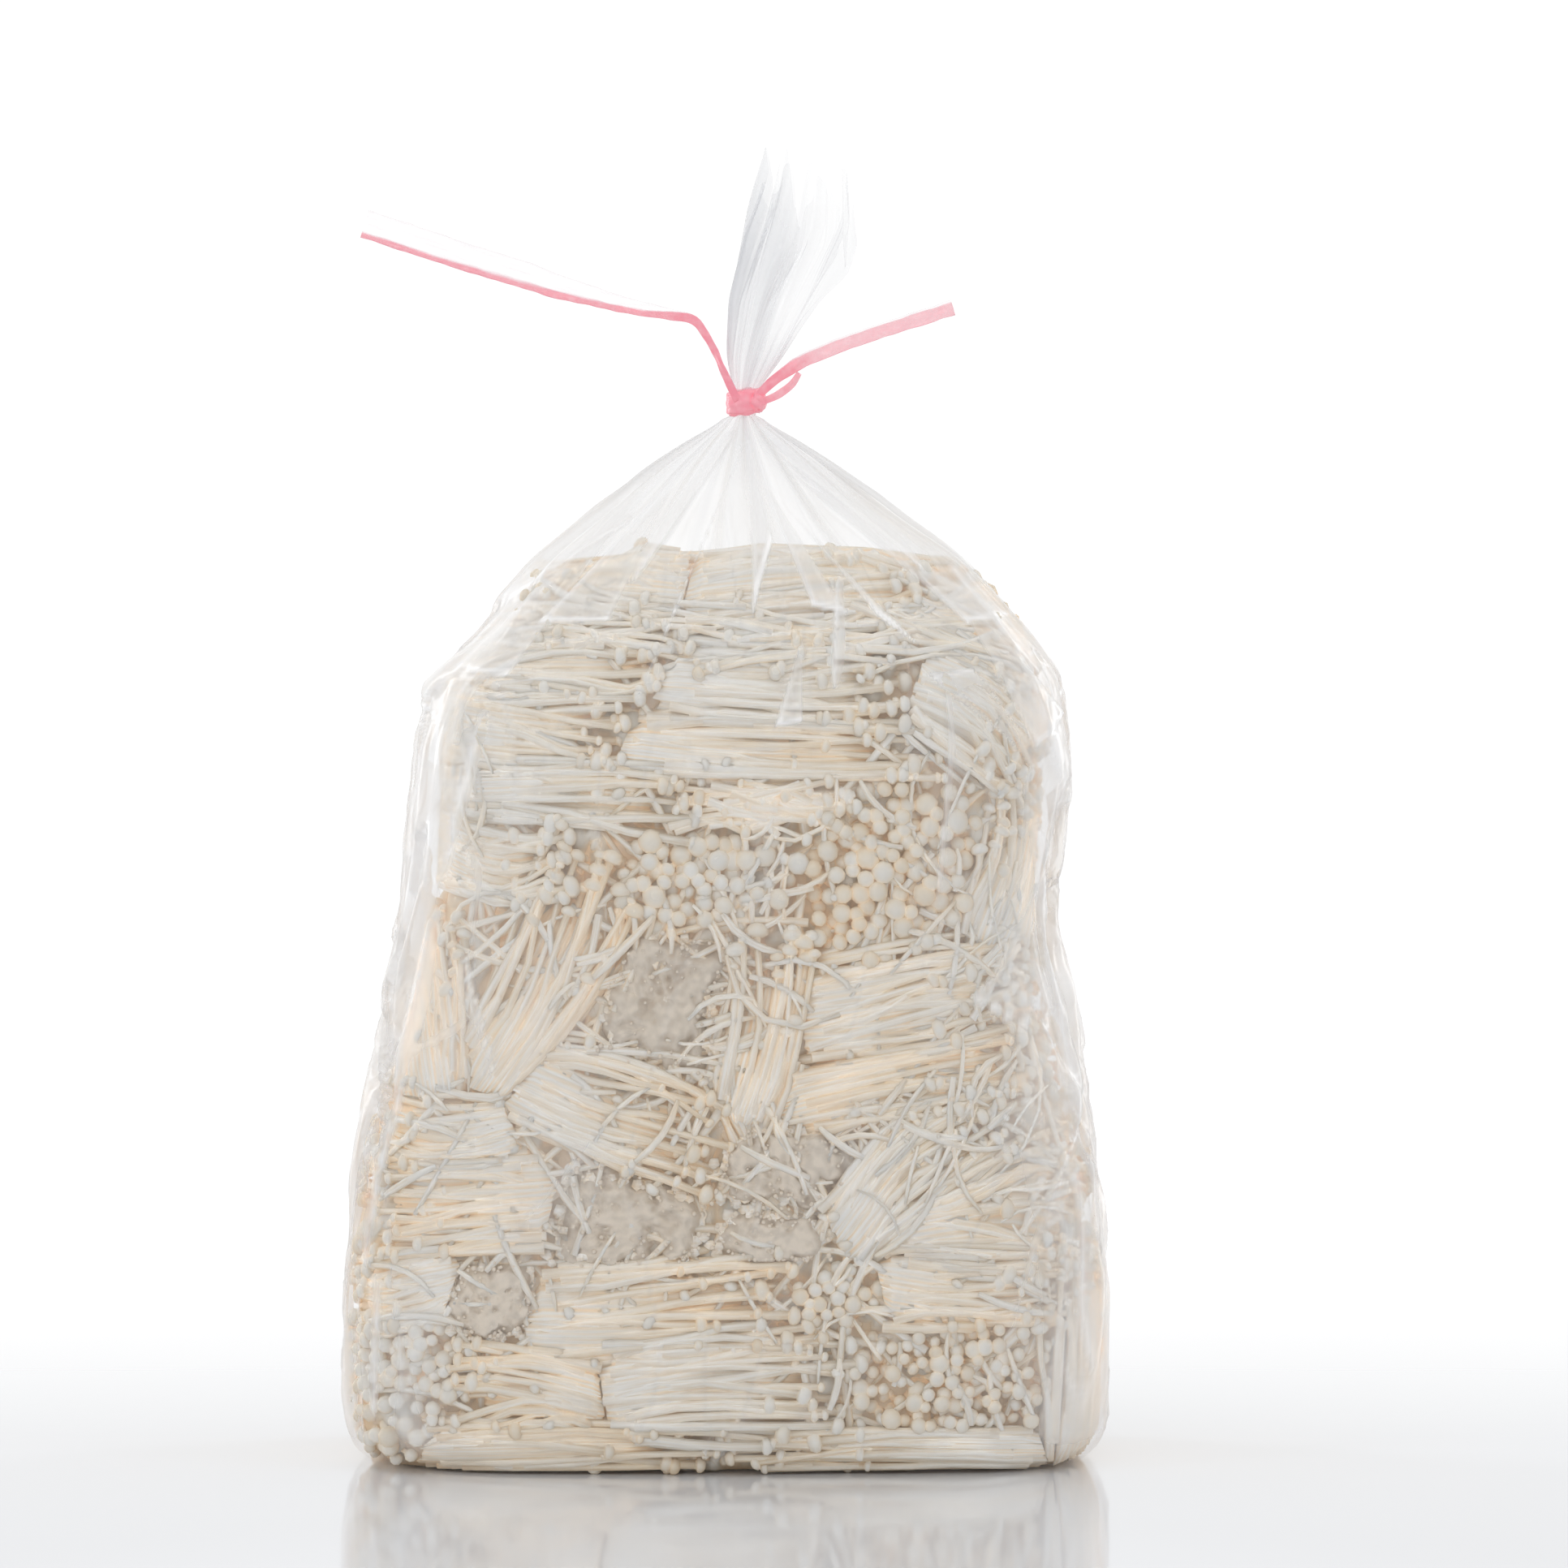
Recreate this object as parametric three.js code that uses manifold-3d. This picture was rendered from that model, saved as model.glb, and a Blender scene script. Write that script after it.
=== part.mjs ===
// Bunches of enoki mushrooms packed in a clear bag, whose neck is gathered and tied with flat plastic tape.
// Millimetres. +Z is up, -Y is the front, and the origin is the middle of the bag's flat base.
// Each cut bunch is one solid: a block of fused stems, with free stems and caps that grow out of it.

import * as THREE from "three";
import Module from "manifold-3d";

const wasm = await Module();
wasm.setup();

// ---- Driving dimensions ----

const BAG_WIDTH = 240; // at its widest, near the base
const BAG_DEPTH = 134;
const BAG_HEIGHT = 406; // to the top of the gathered mouth
const FILL_HEIGHT = 281; // the bunches' top
const NECK_LOW = 323; // the neck is straight between these two heights, where the tie holds it
const NECK_HIGH = 331;
const NECK_RADIUS = 3.7;
const FILM = 0.9; // wall of the bag, thick for a film so that it is a solid shell
const GAP = 0.4; // clear space between two solids

const STEM_RADIUS = 1.9;
const CAP_RADIUS = 4.1;
const CAP_RISE = 3.4; // from a cap's rim to its top
const LOOSE_RADIUS = 1.1; // a loose stem, in the layer between the bunches and the film
const LOOSE_LAYER = 3.6;
const LOOSE_COUNT = 24; // loose stems on each face
const BAND_RADIUS = 6.1; // outside of the tie's turns round the neck
const BAND_BORE = 4.9;
const KNOT_RADIUS = 2.7;
const TAPE_THICK = 0.9;

const BAG_COLUMNS = 32; // points round the bag; every other one is a pleat's ridge

// ---- Small tools ----

const mix = (a, b, t) => a + (b - a) * t;
const point = (x, y, z) => new THREE.Vector3(x, y, z);

// A function that gives the next repeatable random number, from low to high.
function randomFrom(seed) {
  let state = seed;
  return (low = 0, high = 1) => {
    state = (Math.imul(state, 1664525) + 1013904223) >>> 0;
    return mix(low, high, state / 4294967296);
  };
}

function solidOf(points, triangles) {
  const vertProperties = new Float32Array(points.flatMap((p) => [p.x, p.y, p.z]));
  const triVerts = new Uint32Array(triangles.flat());
  return new wasm.Manifold(new wasm.Mesh({ numProp: 3, vertProperties, triVerts }));
}

const joined = (solids) => solids.reduce((whole, next) => whole.add(next));

// A solid's largest connected body: scraps that touch nothing are dropped.
const largestBody = (solid) => solid.decompose().sort((a, b) => b.volume() - a.volume())[0];

function meshOf(name, solid, material) {
  const { vertProperties, triVerts } = solid.getMesh();
  const geometry = new THREE.BufferGeometry()
    .setAttribute("position", new THREE.BufferAttribute(new Float32Array(vertProperties), 3))
    .setIndex(new THREE.BufferAttribute(new Uint32Array(triVerts), 1));
  geometry.computeVertexNormals();
  const mesh = new THREE.Mesh(geometry, material);
  mesh.name = name;
  return mesh;
}

// Rings of equal length, counter-clockwise seen from the last one, joined in order and closed at both ends.
function loft(rings) {
  const around = rings[0].length;
  const points = rings.flat();
  const triangles = [];
  for (let row = 0; row < rings.length - 1; row++)
    for (let k = 0; k < around; k++) {
      const [a, b] = [row * around + k, row * around + ((k + 1) % around)];
      triangles.push([a, b, b + around], [a, b + around, a + around]);
    }
  const top = (rings.length - 1) * around;
  for (let k = 1; k < around - 1; k++)
    triangles.push([0, k + 1, k], [top, top + k, top + k + 1]);
  return solidOf(points, triangles);
}

// ---- The bag ----

// The film's outline at each height: half width, half depth, sideways lean, squareness (2 is an
// ellipse, 5 nearly a box), pleat depth as a share of the radius, and the thickness of film
// between its outside and the clear space inside.
const STATIONS = [
  { z: 0, wide: 107, deep: 55, lean: 0, square: 4.6, pleat: 0, film: FILM },
  { z: 3, wide: 114, deep: 61, lean: 0, square: 4.6, pleat: 0, film: FILM },
  { z: 12, wide: 119, deep: 66, lean: 0, square: 4.6, pleat: 0, film: FILM },
  { z: 48, wide: BAG_WIDTH / 2, deep: BAG_DEPTH / 2, lean: 0, square: 4.6, pleat: 0, film: FILM },
  { z: 92, wide: 117, deep: 66.5, lean: 0.3, square: 4.6, pleat: 0, film: FILM },
  { z: 136, wide: 110, deep: 65.5, lean: 1.2, square: 4.4, pleat: 0, film: FILM },
  { z: 171, wide: 105, deep: 64.5, lean: 2.5, square: 4.2, pleat: 0, film: FILM },
  { z: 224, wide: 102, deep: 62, lean: 5.6, square: 4, pleat: 0, film: FILM },
  { z: 243, wide: 98, deep: 58.5, lean: 6.6, square: 3.6, pleat: 0.01, film: FILM },
  { z: 256, wide: 87, deep: 53, lean: 9, square: 3.2, pleat: 0.025, film: FILM },
  { z: 279, wide: 67, deep: 41, lean: 7.8, square: 2.8, pleat: 0.05, film: 1 },
  { z: 292, wide: 49, deep: 31, lean: 6, square: 2.4, pleat: 0.08, film: 1.1 },
  { z: 306, wide: 29, deep: 20, lean: 5.4, square: 2.2, pleat: 0.12, film: 1.4 },
  { z: 316, wide: 14, deep: 11.5, lean: 5.3, square: 2, pleat: 0.14, film: 2 },
  { z: NECK_LOW, wide: NECK_RADIUS, deep: NECK_RADIUS, lean: 5.2, square: 2, pleat: 0.05, film: 2.5 },
  { z: NECK_HIGH, wide: NECK_RADIUS, deep: NECK_RADIUS, lean: 6.2, square: 2, pleat: 0.05, film: 2.5 },
  { z: 340, wide: 7.6, deep: 6.5, lean: 8.6, square: 2, pleat: 0.2, film: 2.4 },
  { z: 360, wide: 12.5, deep: 9, lean: 15, square: 2, pleat: 0.3, film: 1.8 },
  { z: 382, wide: 15.5, deep: 9.6, lean: 22, square: 2, pleat: 0.34, film: 1.4 },
  { z: 396, wide: 12.5, deep: 8.4, lean: 23.5, square: 2, pleat: 0.36, film: 1.2 },
];
const MOUTH_RAGGED = BAG_HEIGHT - STATIONS.at(-1).z; // the open edge rises and falls by this much

function outlineAt(z) {
  const above = STATIONS.findIndex((s) => s.z >= z);
  if (above === 0) return STATIONS[0];
  const [low, high] = [STATIONS[above - 1], STATIONS[above]];
  const t = (z - low.z) / (high.z - low.z);
  return Object.fromEntries(Object.keys(low).map((key) => [key, mix(low[key], high[key], t)]));
}

// The outline as a ring of points, moved in by inset. Every other point moves out, and the rest in, as pleats.
function ringOf({ z, wide, deep, lean, square, pleat }, inset) {
  const round = (v) => Math.sign(v) * Math.abs(v) ** (2 / square);
  return Array.from({ length: BAG_COLUMNS }, (_, k) => {
    const angle = (2 * Math.PI * k) / BAG_COLUMNS;
    const fold = 1 + (k % 2 ? -pleat : pleat);
    const x = lean + (wide - inset) * fold * round(Math.cos(angle));
    return point(x, (deep - inset) * fold * round(Math.sin(angle)), z);
  });
}

// The mouth's edge: its points rise by uneven steps, the same on the film's two faces.
function ragged(ring) {
  const steps = [1, 0.35, 0.7, 0.1, 0.85, 0.45, 0, 0.6];
  return ring.map((p, k) => point(p.x, p.y, p.z + MOUTH_RAGGED * steps[k % steps.length]));
}

function bag() {
  const outside = STATIONS.map((s) => ringOf(s, 0));
  const inside = STATIONS.map((s) => ringOf({ ...s, z: Math.max(s.z, FILM) }, s.film));
  outside.push(ragged(outside.pop()));
  inside.push(ragged(inside.pop()));
  return loft([...outside, ...inside.reverse()]);
}

// The space that the bunches fill: the bag's inside, less the layer of loose stems.
function chamber() {
  const used = STATIONS.filter((s) => s.z > 0 && s.z < FILL_HEIGHT);
  const floor = { ...outlineAt(FILM + LOOSE_LAYER), z: FILM + GAP };
  const lid = outlineAt(FILL_HEIGHT);
  const rings = [floor, ...used, { ...lid, z: FILL_HEIGHT }].map((s) => ringOf(s, s.film + LOOSE_LAYER + 1.5));
  return loft(rings.map((ring) => ring.filter((_, k) => k % 2 === 0)));
}

// Half the clear depth inside the film at a place on the bag's face, and 0 outside its outline.
function depthAt(x, z) {
  const { wide, deep, lean, square, film } = outlineAt(Math.min(Math.max(z, 0), FILL_HEIGHT));
  const out = Math.abs(x - lean) / (wide - film);
  return out < 1 ? (deep - film) * (1 - out ** square) ** (1 / square) : 0;
}

// Whether a place is inside the film by a margin.
function isWithin(p, margin) {
  const { wide, deep, lean, square, film } = outlineAt(THREE.MathUtils.clamp(p.z, 0, BAG_HEIGHT - 10));
  const [across, through] = [wide - film - margin, deep - film - margin];
  return (Math.abs(p.x - lean) / across) ** square + (Math.abs(p.y) / through) ** square < 1;
}

// ---- Where the bunches lie ----

// Seen from the front, a bunch that lies along the face runs from its cut base to its caps, as [x, z].
// A bunch that points out of the face shows its caps or its spongy base pad, between two ends in the face.
// base and fan are half its width at the two ends.
const lies = (from, to, base, fan) => ({ kind: "lies", from, to, base: base * 1.2, fan: fan * 1.15 });
const caps = (from, to, half) => ({ kind: "caps", from, to, base: half, fan: half });
const pad = (from, to, half) => ({ kind: "pad", from, to, base: half, fan: half });

const FRONT = [
  lies([-80, 9], [-8, 9], 6.5, 7),
  lies([86, 8], [8, 9], 6.5, 7),
  lies([-34, 26], [30, 29], 12, 17),
  lies([-40, 25], [-76, 28], 9, 12),
  caps([-94, 26], [-94, 38], 14),
  caps([50, 30], [86, 31], 17),
  lies([109, 16], [110, 62], 8, 9),
  lies([-90, 58], [-114, 54], 9, 12),
  pad([-76, 53], [-68, 53], 12),
  lies([-50, 48], [14, 53], 12, 14),
  caps([28, 53], [40, 54], 9),
  lies([58, 58], [104, 57], 10, 12),
  lies([-66, 84], [-112, 81], 12, 16),
  pad([-40, 77], [-18, 77], 14),
  pad([4, 72], [24, 72], 8),
  pad([8, 95], [27, 94], 12),
  lies([46, 80], [80, 108], 11, 15),
  lies([63, 76], [110, 73], 12, 15),
  lies([-76, 106], [-110, 105], 9, 11),
  lies([-54, 117], [-8, 102], 11, 13),
  lies([30, 116], [98, 126], 9, 13),
  lies([-90, 124], [-94, 170], 9, 11),
  lies([-68, 128], [-40, 182], 10, 16),
  pad([-18, 140], [-18, 152], 15),
  lies([6, 116], [15, 158], 8, 12),
  lies([37, 142], [94, 150], 14, 18),
  lies([-88, 192], [-58, 190], 10, 11),
  caps([-22, 182], [4, 182], 14),
  caps([48, 174], [52, 192], 20),
  lies([86, 170], [95, 202], 10, 12),
  lies([-88, 210], [-12, 206], 8, 9),
  lies([-86, 230], [-38, 227], 11, 12),
  lies([-26, 222], [56, 220], 8, 10),
  lies([68, 238], [97, 214], 14, 16),
  lies([-72, 250], [-22, 251], 9, 11),
  lies([-12, 243], [50, 242], 10, 12),
  lies([62, 262], [88, 250], 8, 9),
  lies([-16, 270], [-54, 264], 9, 11),
  lies([-8, 268], [60, 271], 9, 11),
];

// The back is stacked in courses. Each holds a number of bunches, which turn end for end by turns.
const BACK_COURSES = [3, 3, 2, 3, 2, 3, 1];

function backPlan() {
  const random = randomFrom(11);
  const step = FILL_HEIGHT / BACK_COURSES.length;
  return BACK_COURSES.flatMap((count, course) =>
    Array.from({ length: count }, (_, k) => {
      const z = step * (course + 0.5);
      const { wide, lean } = outlineAt(z);
      const room = (2 * (wide - LOOSE_LAYER - 4)) / count;
      const x = lean + room * (k + 0.5 - count / 2);
      const reach = room / 2 - 8;
      const tilt = random(-0.16, 0.16) * reach;
      const way = (course + k) % 2 ? 1 : -1;
      return lies([x - way * reach, z - way * tilt], [x + way * reach, z + way * tilt], 13, 15);
    }),
  );
}

// ---- Planes that part neighbouring bunches ----

const flat = ([x, z]) => new THREE.Vector2(x, z);

function nearestOn(plan, spot) {
  const [from, to] = [flat(plan.from), flat(plan.to)];
  const along = to.clone().sub(from);
  const t = THREE.MathUtils.clamp(spot.clone().sub(from).dot(along) / along.lengthSq(), 0, 1);
  return { at: from.addScaledVector(along, t), half: mix(plan.base, plan.fan, t) };
}

// The nearest two points of two bunches' lines that don't cross: one of them is always an end.
function nearestPair(a, b) {
  const pairs = [
    ...[b.from, b.to].map((end) => {
      const near = nearestOn(a, flat(end));
      return [near, nearestOn(b, near.at)];
    }),
    ...[a.from, a.to].map((end) => {
      const near = nearestOn(b, flat(end));
      return [nearestOn(a, near.at), near];
    }),
  ];
  return pairs.sort((p, q) => p[0].at.distanceTo(p[1].at) - q[0].at.distanceTo(q[1].at))[0];
}

// For each other bunch of the face, the line that parts it from this one, nearer the slimmer of the two.
// A spot is on this bunch's side where away.dot(spot) is under limit.
function partings(plan, plans) {
  return plans
    .filter((other) => other !== plan)
    .map((other) => {
      const [mine, theirs] = nearestPair(plan, other);
      const away = theirs.at.clone().sub(mine.at);
      const share = mine.half / (mine.half + theirs.half);
      const edge = mine.at.clone().addScaledVector(away, share);
      away.normalize();
      return { away, limit: away.dot(edge) - GAP / 2 };
    });
}

// ---- One bunch ----

// A 3-sided stem that ends in a 6-sided cap. Its root is sunk in the block it grows from.
function mushroom(root, tip) {
  const up = tip.clone().sub(root).normalize();
  const side = new THREE.Vector3(up.z, up.x, up.y).cross(up).normalize();
  const turn = (at, radius, k, sides) => {
    const angle = (2 * Math.PI * k) / sides;
    return at
      .clone()
      .addScaledVector(side, radius * Math.cos(angle))
      .addScaledVector(up.clone().cross(side), radius * Math.sin(angle));
  };
  const ring = (at, radius, sides) => Array.from({ length: sides }, (_, k) => turn(at, radius, k, sides));
  const rim = tip.clone().addScaledVector(up, 1);
  const points = [
    ...ring(root, STEM_RADIUS, 3),
    ...ring(tip, STEM_RADIUS, 3),
    ...ring(rim, CAP_RADIUS, 6),
    rim.clone().addScaledVector(up, CAP_RISE),
  ];
  const triangles = [[0, 2, 1]];
  for (let k = 0; k < 3; k++) {
    const next = (k + 1) % 3;
    const [before, here, after] = [6 + ((2 * k + 5) % 6), 6 + 2 * k, 7 + 2 * k];
    triangles.push([k, next, 3 + next], [k, 3 + next, 3 + k]);
    triangles.push([3 + k, here, before], [3 + k, after, here], [3 + k, 3 + next, after]);
  }
  for (let k = 0; k < 6; k++) triangles.push([6 + k, 6 + ((k + 1) % 6), 12]);
  return solidOf(points, triangles);
}

// A bunch's frame: where its base is, which way it grows, how long it is, and its half sizes across
// and through at the base and at the caps.
function frameOf(plan, side) {
  const [from, to] = [flat(plan.from), flat(plan.to)];
  const middle = from.clone().lerp(to, 0.5);
  const depth = (depthAt(from.x, from.y) + depthAt(to.x, to.y) + 2 * depthAt(middle.x, middle.y)) / 4;
  const near = GAP + 1;
  const far = depth - LOOSE_LAYER;
  if (plan.kind === "lies") {
    const grow = to.clone().sub(from);
    const length = grow.length();
    grow.normalize();
    return {
      base: point(from.x, (side * (near + far)) / 2, from.y),
      grow: point(grow.x, 0, grow.y),
      across: point(grow.y * side, 0, -grow.x * side),
      through: point(0, side, 0),
      length,
      half: [plan.base, (far - near) / 2 - STEM_RADIUS],
      fan: [plan.fan, (far - near) / 2 - CAP_RADIUS],
    };
  }
  const long = from.distanceTo(to) / 2 + plan.base;
  const across = to.clone().sub(from).normalize();
  const outward = plan.kind === "caps" ? side : -side;
  return {
    base: point(middle.x, side * (plan.kind === "caps" ? near : far), middle.y),
    grow: point(0, outward, 0),
    across: point(across.x, 0, across.y),
    through: point(across.y * outward, 0, -across.x * outward),
    length: far - near,
    half: [long, plan.base],
    fan: [long, plan.base],
  };
}

// The place in a bunch at a share t of its length, with u and v from -1 to 1 across and through it.
function placeIn(frame, t, u, v) {
  return frame.base
    .clone()
    .addScaledVector(frame.grow, t * frame.length)
    .addScaledVector(frame.across, u * mix(frame.half[0], frame.fan[0], t))
    .addScaledVector(frame.through, v * mix(frame.half[1], frame.fan[1], t));
}

// The block of fused stems: an eight-sided section carried along the bunch, with lumps on a pad's face.
function block(frame, kind, random) {
  const section = (t, size) =>
    Array.from({ length: 8 }, (_, k) => {
      const angle = (Math.PI * (k + 0.5)) / 4;
      const corner = (v) => THREE.MathUtils.clamp(v * 1.15, -1, 1) * size;
      return placeIn(frame, t, corner(Math.cos(angle)), corner(Math.sin(angle)));
    });
  const ends = { lies: 0.64, caps: 0.66, pad: 0.6 }[kind];
  const rings = [section(0, 0.96), section(ends / 2, 1), section(ends, 0.8)];
  if (kind === "pad")
    rings.unshift(
      ...[0.3, 0.68].map((size) =>
        section(0, size).map((p) => p.addScaledVector(frame.grow, -random(0.2, 2.2))),
      ),
    );
  return loft(rings);
}

// Where a bunch's stems stand: rows through a lying bunch, fullest on its outer face, and an even
// spiral over the end of one that points in or out.
function spots(plan, frame) {
  if (plan.kind === "lies") {
    const row = (count, v) =>
      Array.from({ length: count }, (_, k) => [count > 1 ? (2 * k) / (count - 1) - 1 : 0, v]);
    const outer = Math.max(3, Math.round(frame.fan[0] / CAP_RADIUS));
    return [...row(outer, 1), ...row(outer - 1, 0.45), ...row(outer - 2, -0.3)];
  }
  const area = 4 * frame.fan[0] * frame.fan[1];
  const count = plan.kind === "pad" ? 5 : Math.round(area / (2.6 * CAP_RADIUS) ** 2);
  return Array.from({ length: count }, (_, k) => {
    const out = Math.sqrt((k + 0.5) / count);
    const angle = k * Math.PI * (3 - Math.sqrt(5));
    const [u, v] = [out * Math.cos(angle), out * Math.sin(angle)];
    const square = 1 / Math.max(Math.abs(Math.cos(angle)), Math.abs(Math.sin(angle)));
    return [u * mix(1, square, 0.8), v * mix(1, square, 0.8)];
  });
}

function bunch(plan, plans, side, seed) {
  const random = randomFrom(seed);
  const frame = frameOf(plan, side);
  const lines = partings(plan, plans);
  const isClear = (p, radius) =>
    lines.every(({ away, limit }) => away.x * p.x + away.y * p.z + radius < limit) &&
    isWithin(p, radius + LOOSE_LAYER - 0.5) &&
    side * p.y - radius > GAP / 2 &&
    p.z - radius > FILM + GAP &&
    p.z + radius < FILL_HEIGHT + 1;
  let solid = block(frame, plan.kind, random).intersect(CHAMBER);
  for (const { away, limit } of lines) solid = solid.trimByPlane([-away.x, 0, -away.y], -limit);
  solid = largestBody(solid);
  for (const [u, v] of spots(plan, frame)) {
    const end = 1 - random(0, plan.kind === "lies" ? 0.16 : 0.05) - (plan.kind === "lies" && v < 0.9 ? 0 : 0.1);
    const start = plan.kind === "caps" ? 0.5 : 0.3;
    for (const pull of [1, 0.85, 0.7, 0.5]) {
      const root = placeIn(frame, start, u * 0.86 * pull, v * 0.9);
      const tip = placeIn(frame, end, u * pull, v);
      const top = tip.clone().addScaledVector(frame.grow, CAP_RISE + 1);
      const middle = root.clone().lerp(tip, 0.5);
      if (isClear(root, 0) && isClear(middle, STEM_RADIUS) && isClear(tip, CAP_RADIUS) && isClear(top, 1)) {
        solid = solid.add(mushroom(root, tip));
        break;
      }
    }
  }
  return largestBody(solid);
}

const CHAMBER = chamber();

// ---- Loose stems ----

// Distance between two lines in the face that don't cross, and 0 between two that do.
function distanceApart(a, b) {
  const turn = (o, p, q) => (p.x - o.x) * (q.y - o.y) - (p.y - o.y) * (q.x - o.x);
  const parts = (o, p, q, r) => turn(o, p, q) * turn(o, p, r) < 0;
  if (parts(a.from, a.to, b.from, b.to) && parts(b.from, b.to, a.from, a.to)) return 0;
  const asPlan = ({ from, to }) => ({ from: from.toArray(), to: to.toArray(), base: 0, fan: 0 });
  const [p, q] = nearestPair(asPlan(a), asPlan(b));
  return p.at.distanceTo(q.at);
}

// Broken stems that lie against the film. Each starts from one that is there already and keeps clear of
// the rest, so together they are one body.
function looseStems(side, seed) {
  const random = randomFrom(seed);
  const laid = [{ from: flat([-22, 112]), to: flat([20, 130]) }];
  while (laid.length < LOOSE_COUNT) {
    const under = laid[Math.floor(random(0, laid.length))];
    const from = under.from.clone().lerp(under.to, random(0.1, 1));
    const along = under.to.clone().sub(under.from).normalize();
    along.rotateAround(flat([0, 0]), random(0.35, 1.5) * (random() < 0.5 ? 1 : -1));
    const to = from.clone().addScaledVector(along, random(22, 48));
    const start = from.clone().addScaledVector(along, 4);
    const isInside = Math.abs(to.x) < 84 && to.y > 16 && to.y < 232;
    const isApart = laid.every((other) => distanceApart({ from: start, to }, other) > 2.6);
    if (isInside && isApart) laid.push({ from, to });
  }
  const place = (p) => point(p.x, side * (depthAt(p.x, p.y) - GAP - LOOSE_RADIUS), p.y);
  const prisms = laid.map(({ from, to }) => {
    const ends = [place(from), place(to)];
    const along = ends[1].clone().sub(ends[0]).normalize();
    const across = point(0, 1, 0).cross(along).normalize();
    const other = along.clone().cross(across);
    const ring = (at) =>
      [0, 1, 2].map((k) =>
        at
          .clone()
          .addScaledVector(across, LOOSE_RADIUS * Math.cos((2 * Math.PI * k) / 3))
          .addScaledVector(other, LOOSE_RADIUS * Math.sin((2 * Math.PI * k) / 3)),
      );
    return loft(ends.map(ring));
  });
  return largestBody(joined(prisms));
}

// ---- The tie ----

// A flat tape carried along a curve. spread gives its width at a share t of the way.
function tape(route, steps, spread) {
  const curve = new THREE.CatmullRomCurve3(route.map(([x, y, z]) => point(x, y, z)));
  const rings = Array.from({ length: steps + 1 }, (_, k) => {
    const t = k / steps;
    const along = curve.getTangentAt(t);
    const up = point(0, -0.35, 1).projectOnPlane(along).normalize();
    const face = along.clone().cross(up);
    const corner = (u, v) =>
      curve
        .getPointAt(t)
        .addScaledVector(up, (u * spread(t)) / 2)
        .addScaledVector(face, (v * TAPE_THICK) / 2);
    return [corner(-1, -1), corner(-1, 1), corner(1, 1), corner(1, -1)];
  });
  const solid = loft(rings);
  return solid.volume() > 0 ? solid : loft(rings.reverse());
}

// Turns of tape round the neck, as a ring with a ridge for each turn.
function band() {
  const [low, high] = [NECK_LOW + 0.6, NECK_HIGH - 0.6];
  const turns = 3;
  const profile = [new THREE.Vector2(BAND_BORE, low), new THREE.Vector2(BAND_RADIUS - 0.6, low)];
  for (let k = 0; k < turns; k++)
    profile.push(
      new THREE.Vector2(BAND_RADIUS, mix(low, high, (k + 0.5) / turns)),
      new THREE.Vector2(BAND_RADIUS - 0.6, mix(low, high, (k + 1) / turns)),
    );
  profile.push(new THREE.Vector2(BAND_BORE, high));
  const sides = 12;
  const centre = outlineAt((low + high) / 2).lean;
  const points = profile.flatMap((p) =>
    Array.from({ length: sides }, (_, k) => {
      const angle = (2 * Math.PI * k) / sides;
      return point(centre + p.x * Math.cos(angle), p.x * Math.sin(angle), p.y);
    }),
  );
  const triangles = profile.flatMap((_, row) =>
    Array.from({ length: sides }, (_, k) => {
      const next = ((row + 1) % profile.length) * sides;
      const [a, b] = [row * sides + k, row * sides + ((k + 1) % sides)];
      const [c, d] = [next + k, next + ((k + 1) % sides)];
      return [[a, b, d], [a, d, c]];
    }).flat(),
  );
  return solidOf(points, triangles);
}

function tie() {
  const knotAt = point(10.9, -5, 327.6);
  const knot = new THREE.SphereGeometry(KNOT_RADIUS, 8, 6);
  knot.scale(1.1, 0.9, 1).translate(knotAt.x, knotAt.y, knotAt.z);
  const ball = new wasm.Manifold(weldedMesh(knot));
  const left = tape(
    [
      [1.6, -4.6, 327],
      [-1.4, -6, 336],
      [-6.6, -6.2, 346],
      [-11.5, -6, 352],
      [-20, -5.6, 353],
      [-49, -5, 357.5],
      [-80, -4.5, 367],
      [-113, -4, 379],
    ],
    18,
    (t) => mix(2.6, 8.5, THREE.MathUtils.smoothstep(t, 0.25, 1)),
  );
  const right = tape(
    [
      [10.4, -5.2, 328],
      [16, -6.2, 334.6],
      [25.5, -6.4, 339.6],
      [39, -6.2, 345.5],
      [54, -5.6, 350.5],
      [71, -5, 355.5],
    ],
    10,
    (t) => mix(3, 6.2, THREE.MathUtils.smoothstep(t, 0.1, 0.7)),
  );
  const loop = tape(
    [
      [10.8, -5.8, 327],
      [16.4, -8, 329.5],
      [23, -8, 333.5],
      [25, -6.6, 338.5],
    ],
    6,
    () => 2.6,
  );
  return joined([band(), ball, left, right, loop]);
}

// A closed three.js geometry with its doubled points merged, for manifold-3d.
function weldedMesh(geometry) {
  const places = geometry.attributes.position;
  const kept = new Map();
  const points = [];
  const index = Array.from({ length: places.count }, (_, k) => {
    const p = point().fromBufferAttribute(places, k);
    const key = p.toArray().map((v) => v.toFixed(3)).join();
    if (!kept.has(key)) {
      kept.set(key, points.length / 3);
      points.push(...p.toArray());
    }
    return kept.get(key);
  });
  const triVerts = new Uint32Array(geometry.index.array.map((k) => index[k]));
  return new wasm.Mesh({ numProp: 3, vertProperties: new Float32Array(points), triVerts });
}

// ---- The whole object ----

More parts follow.
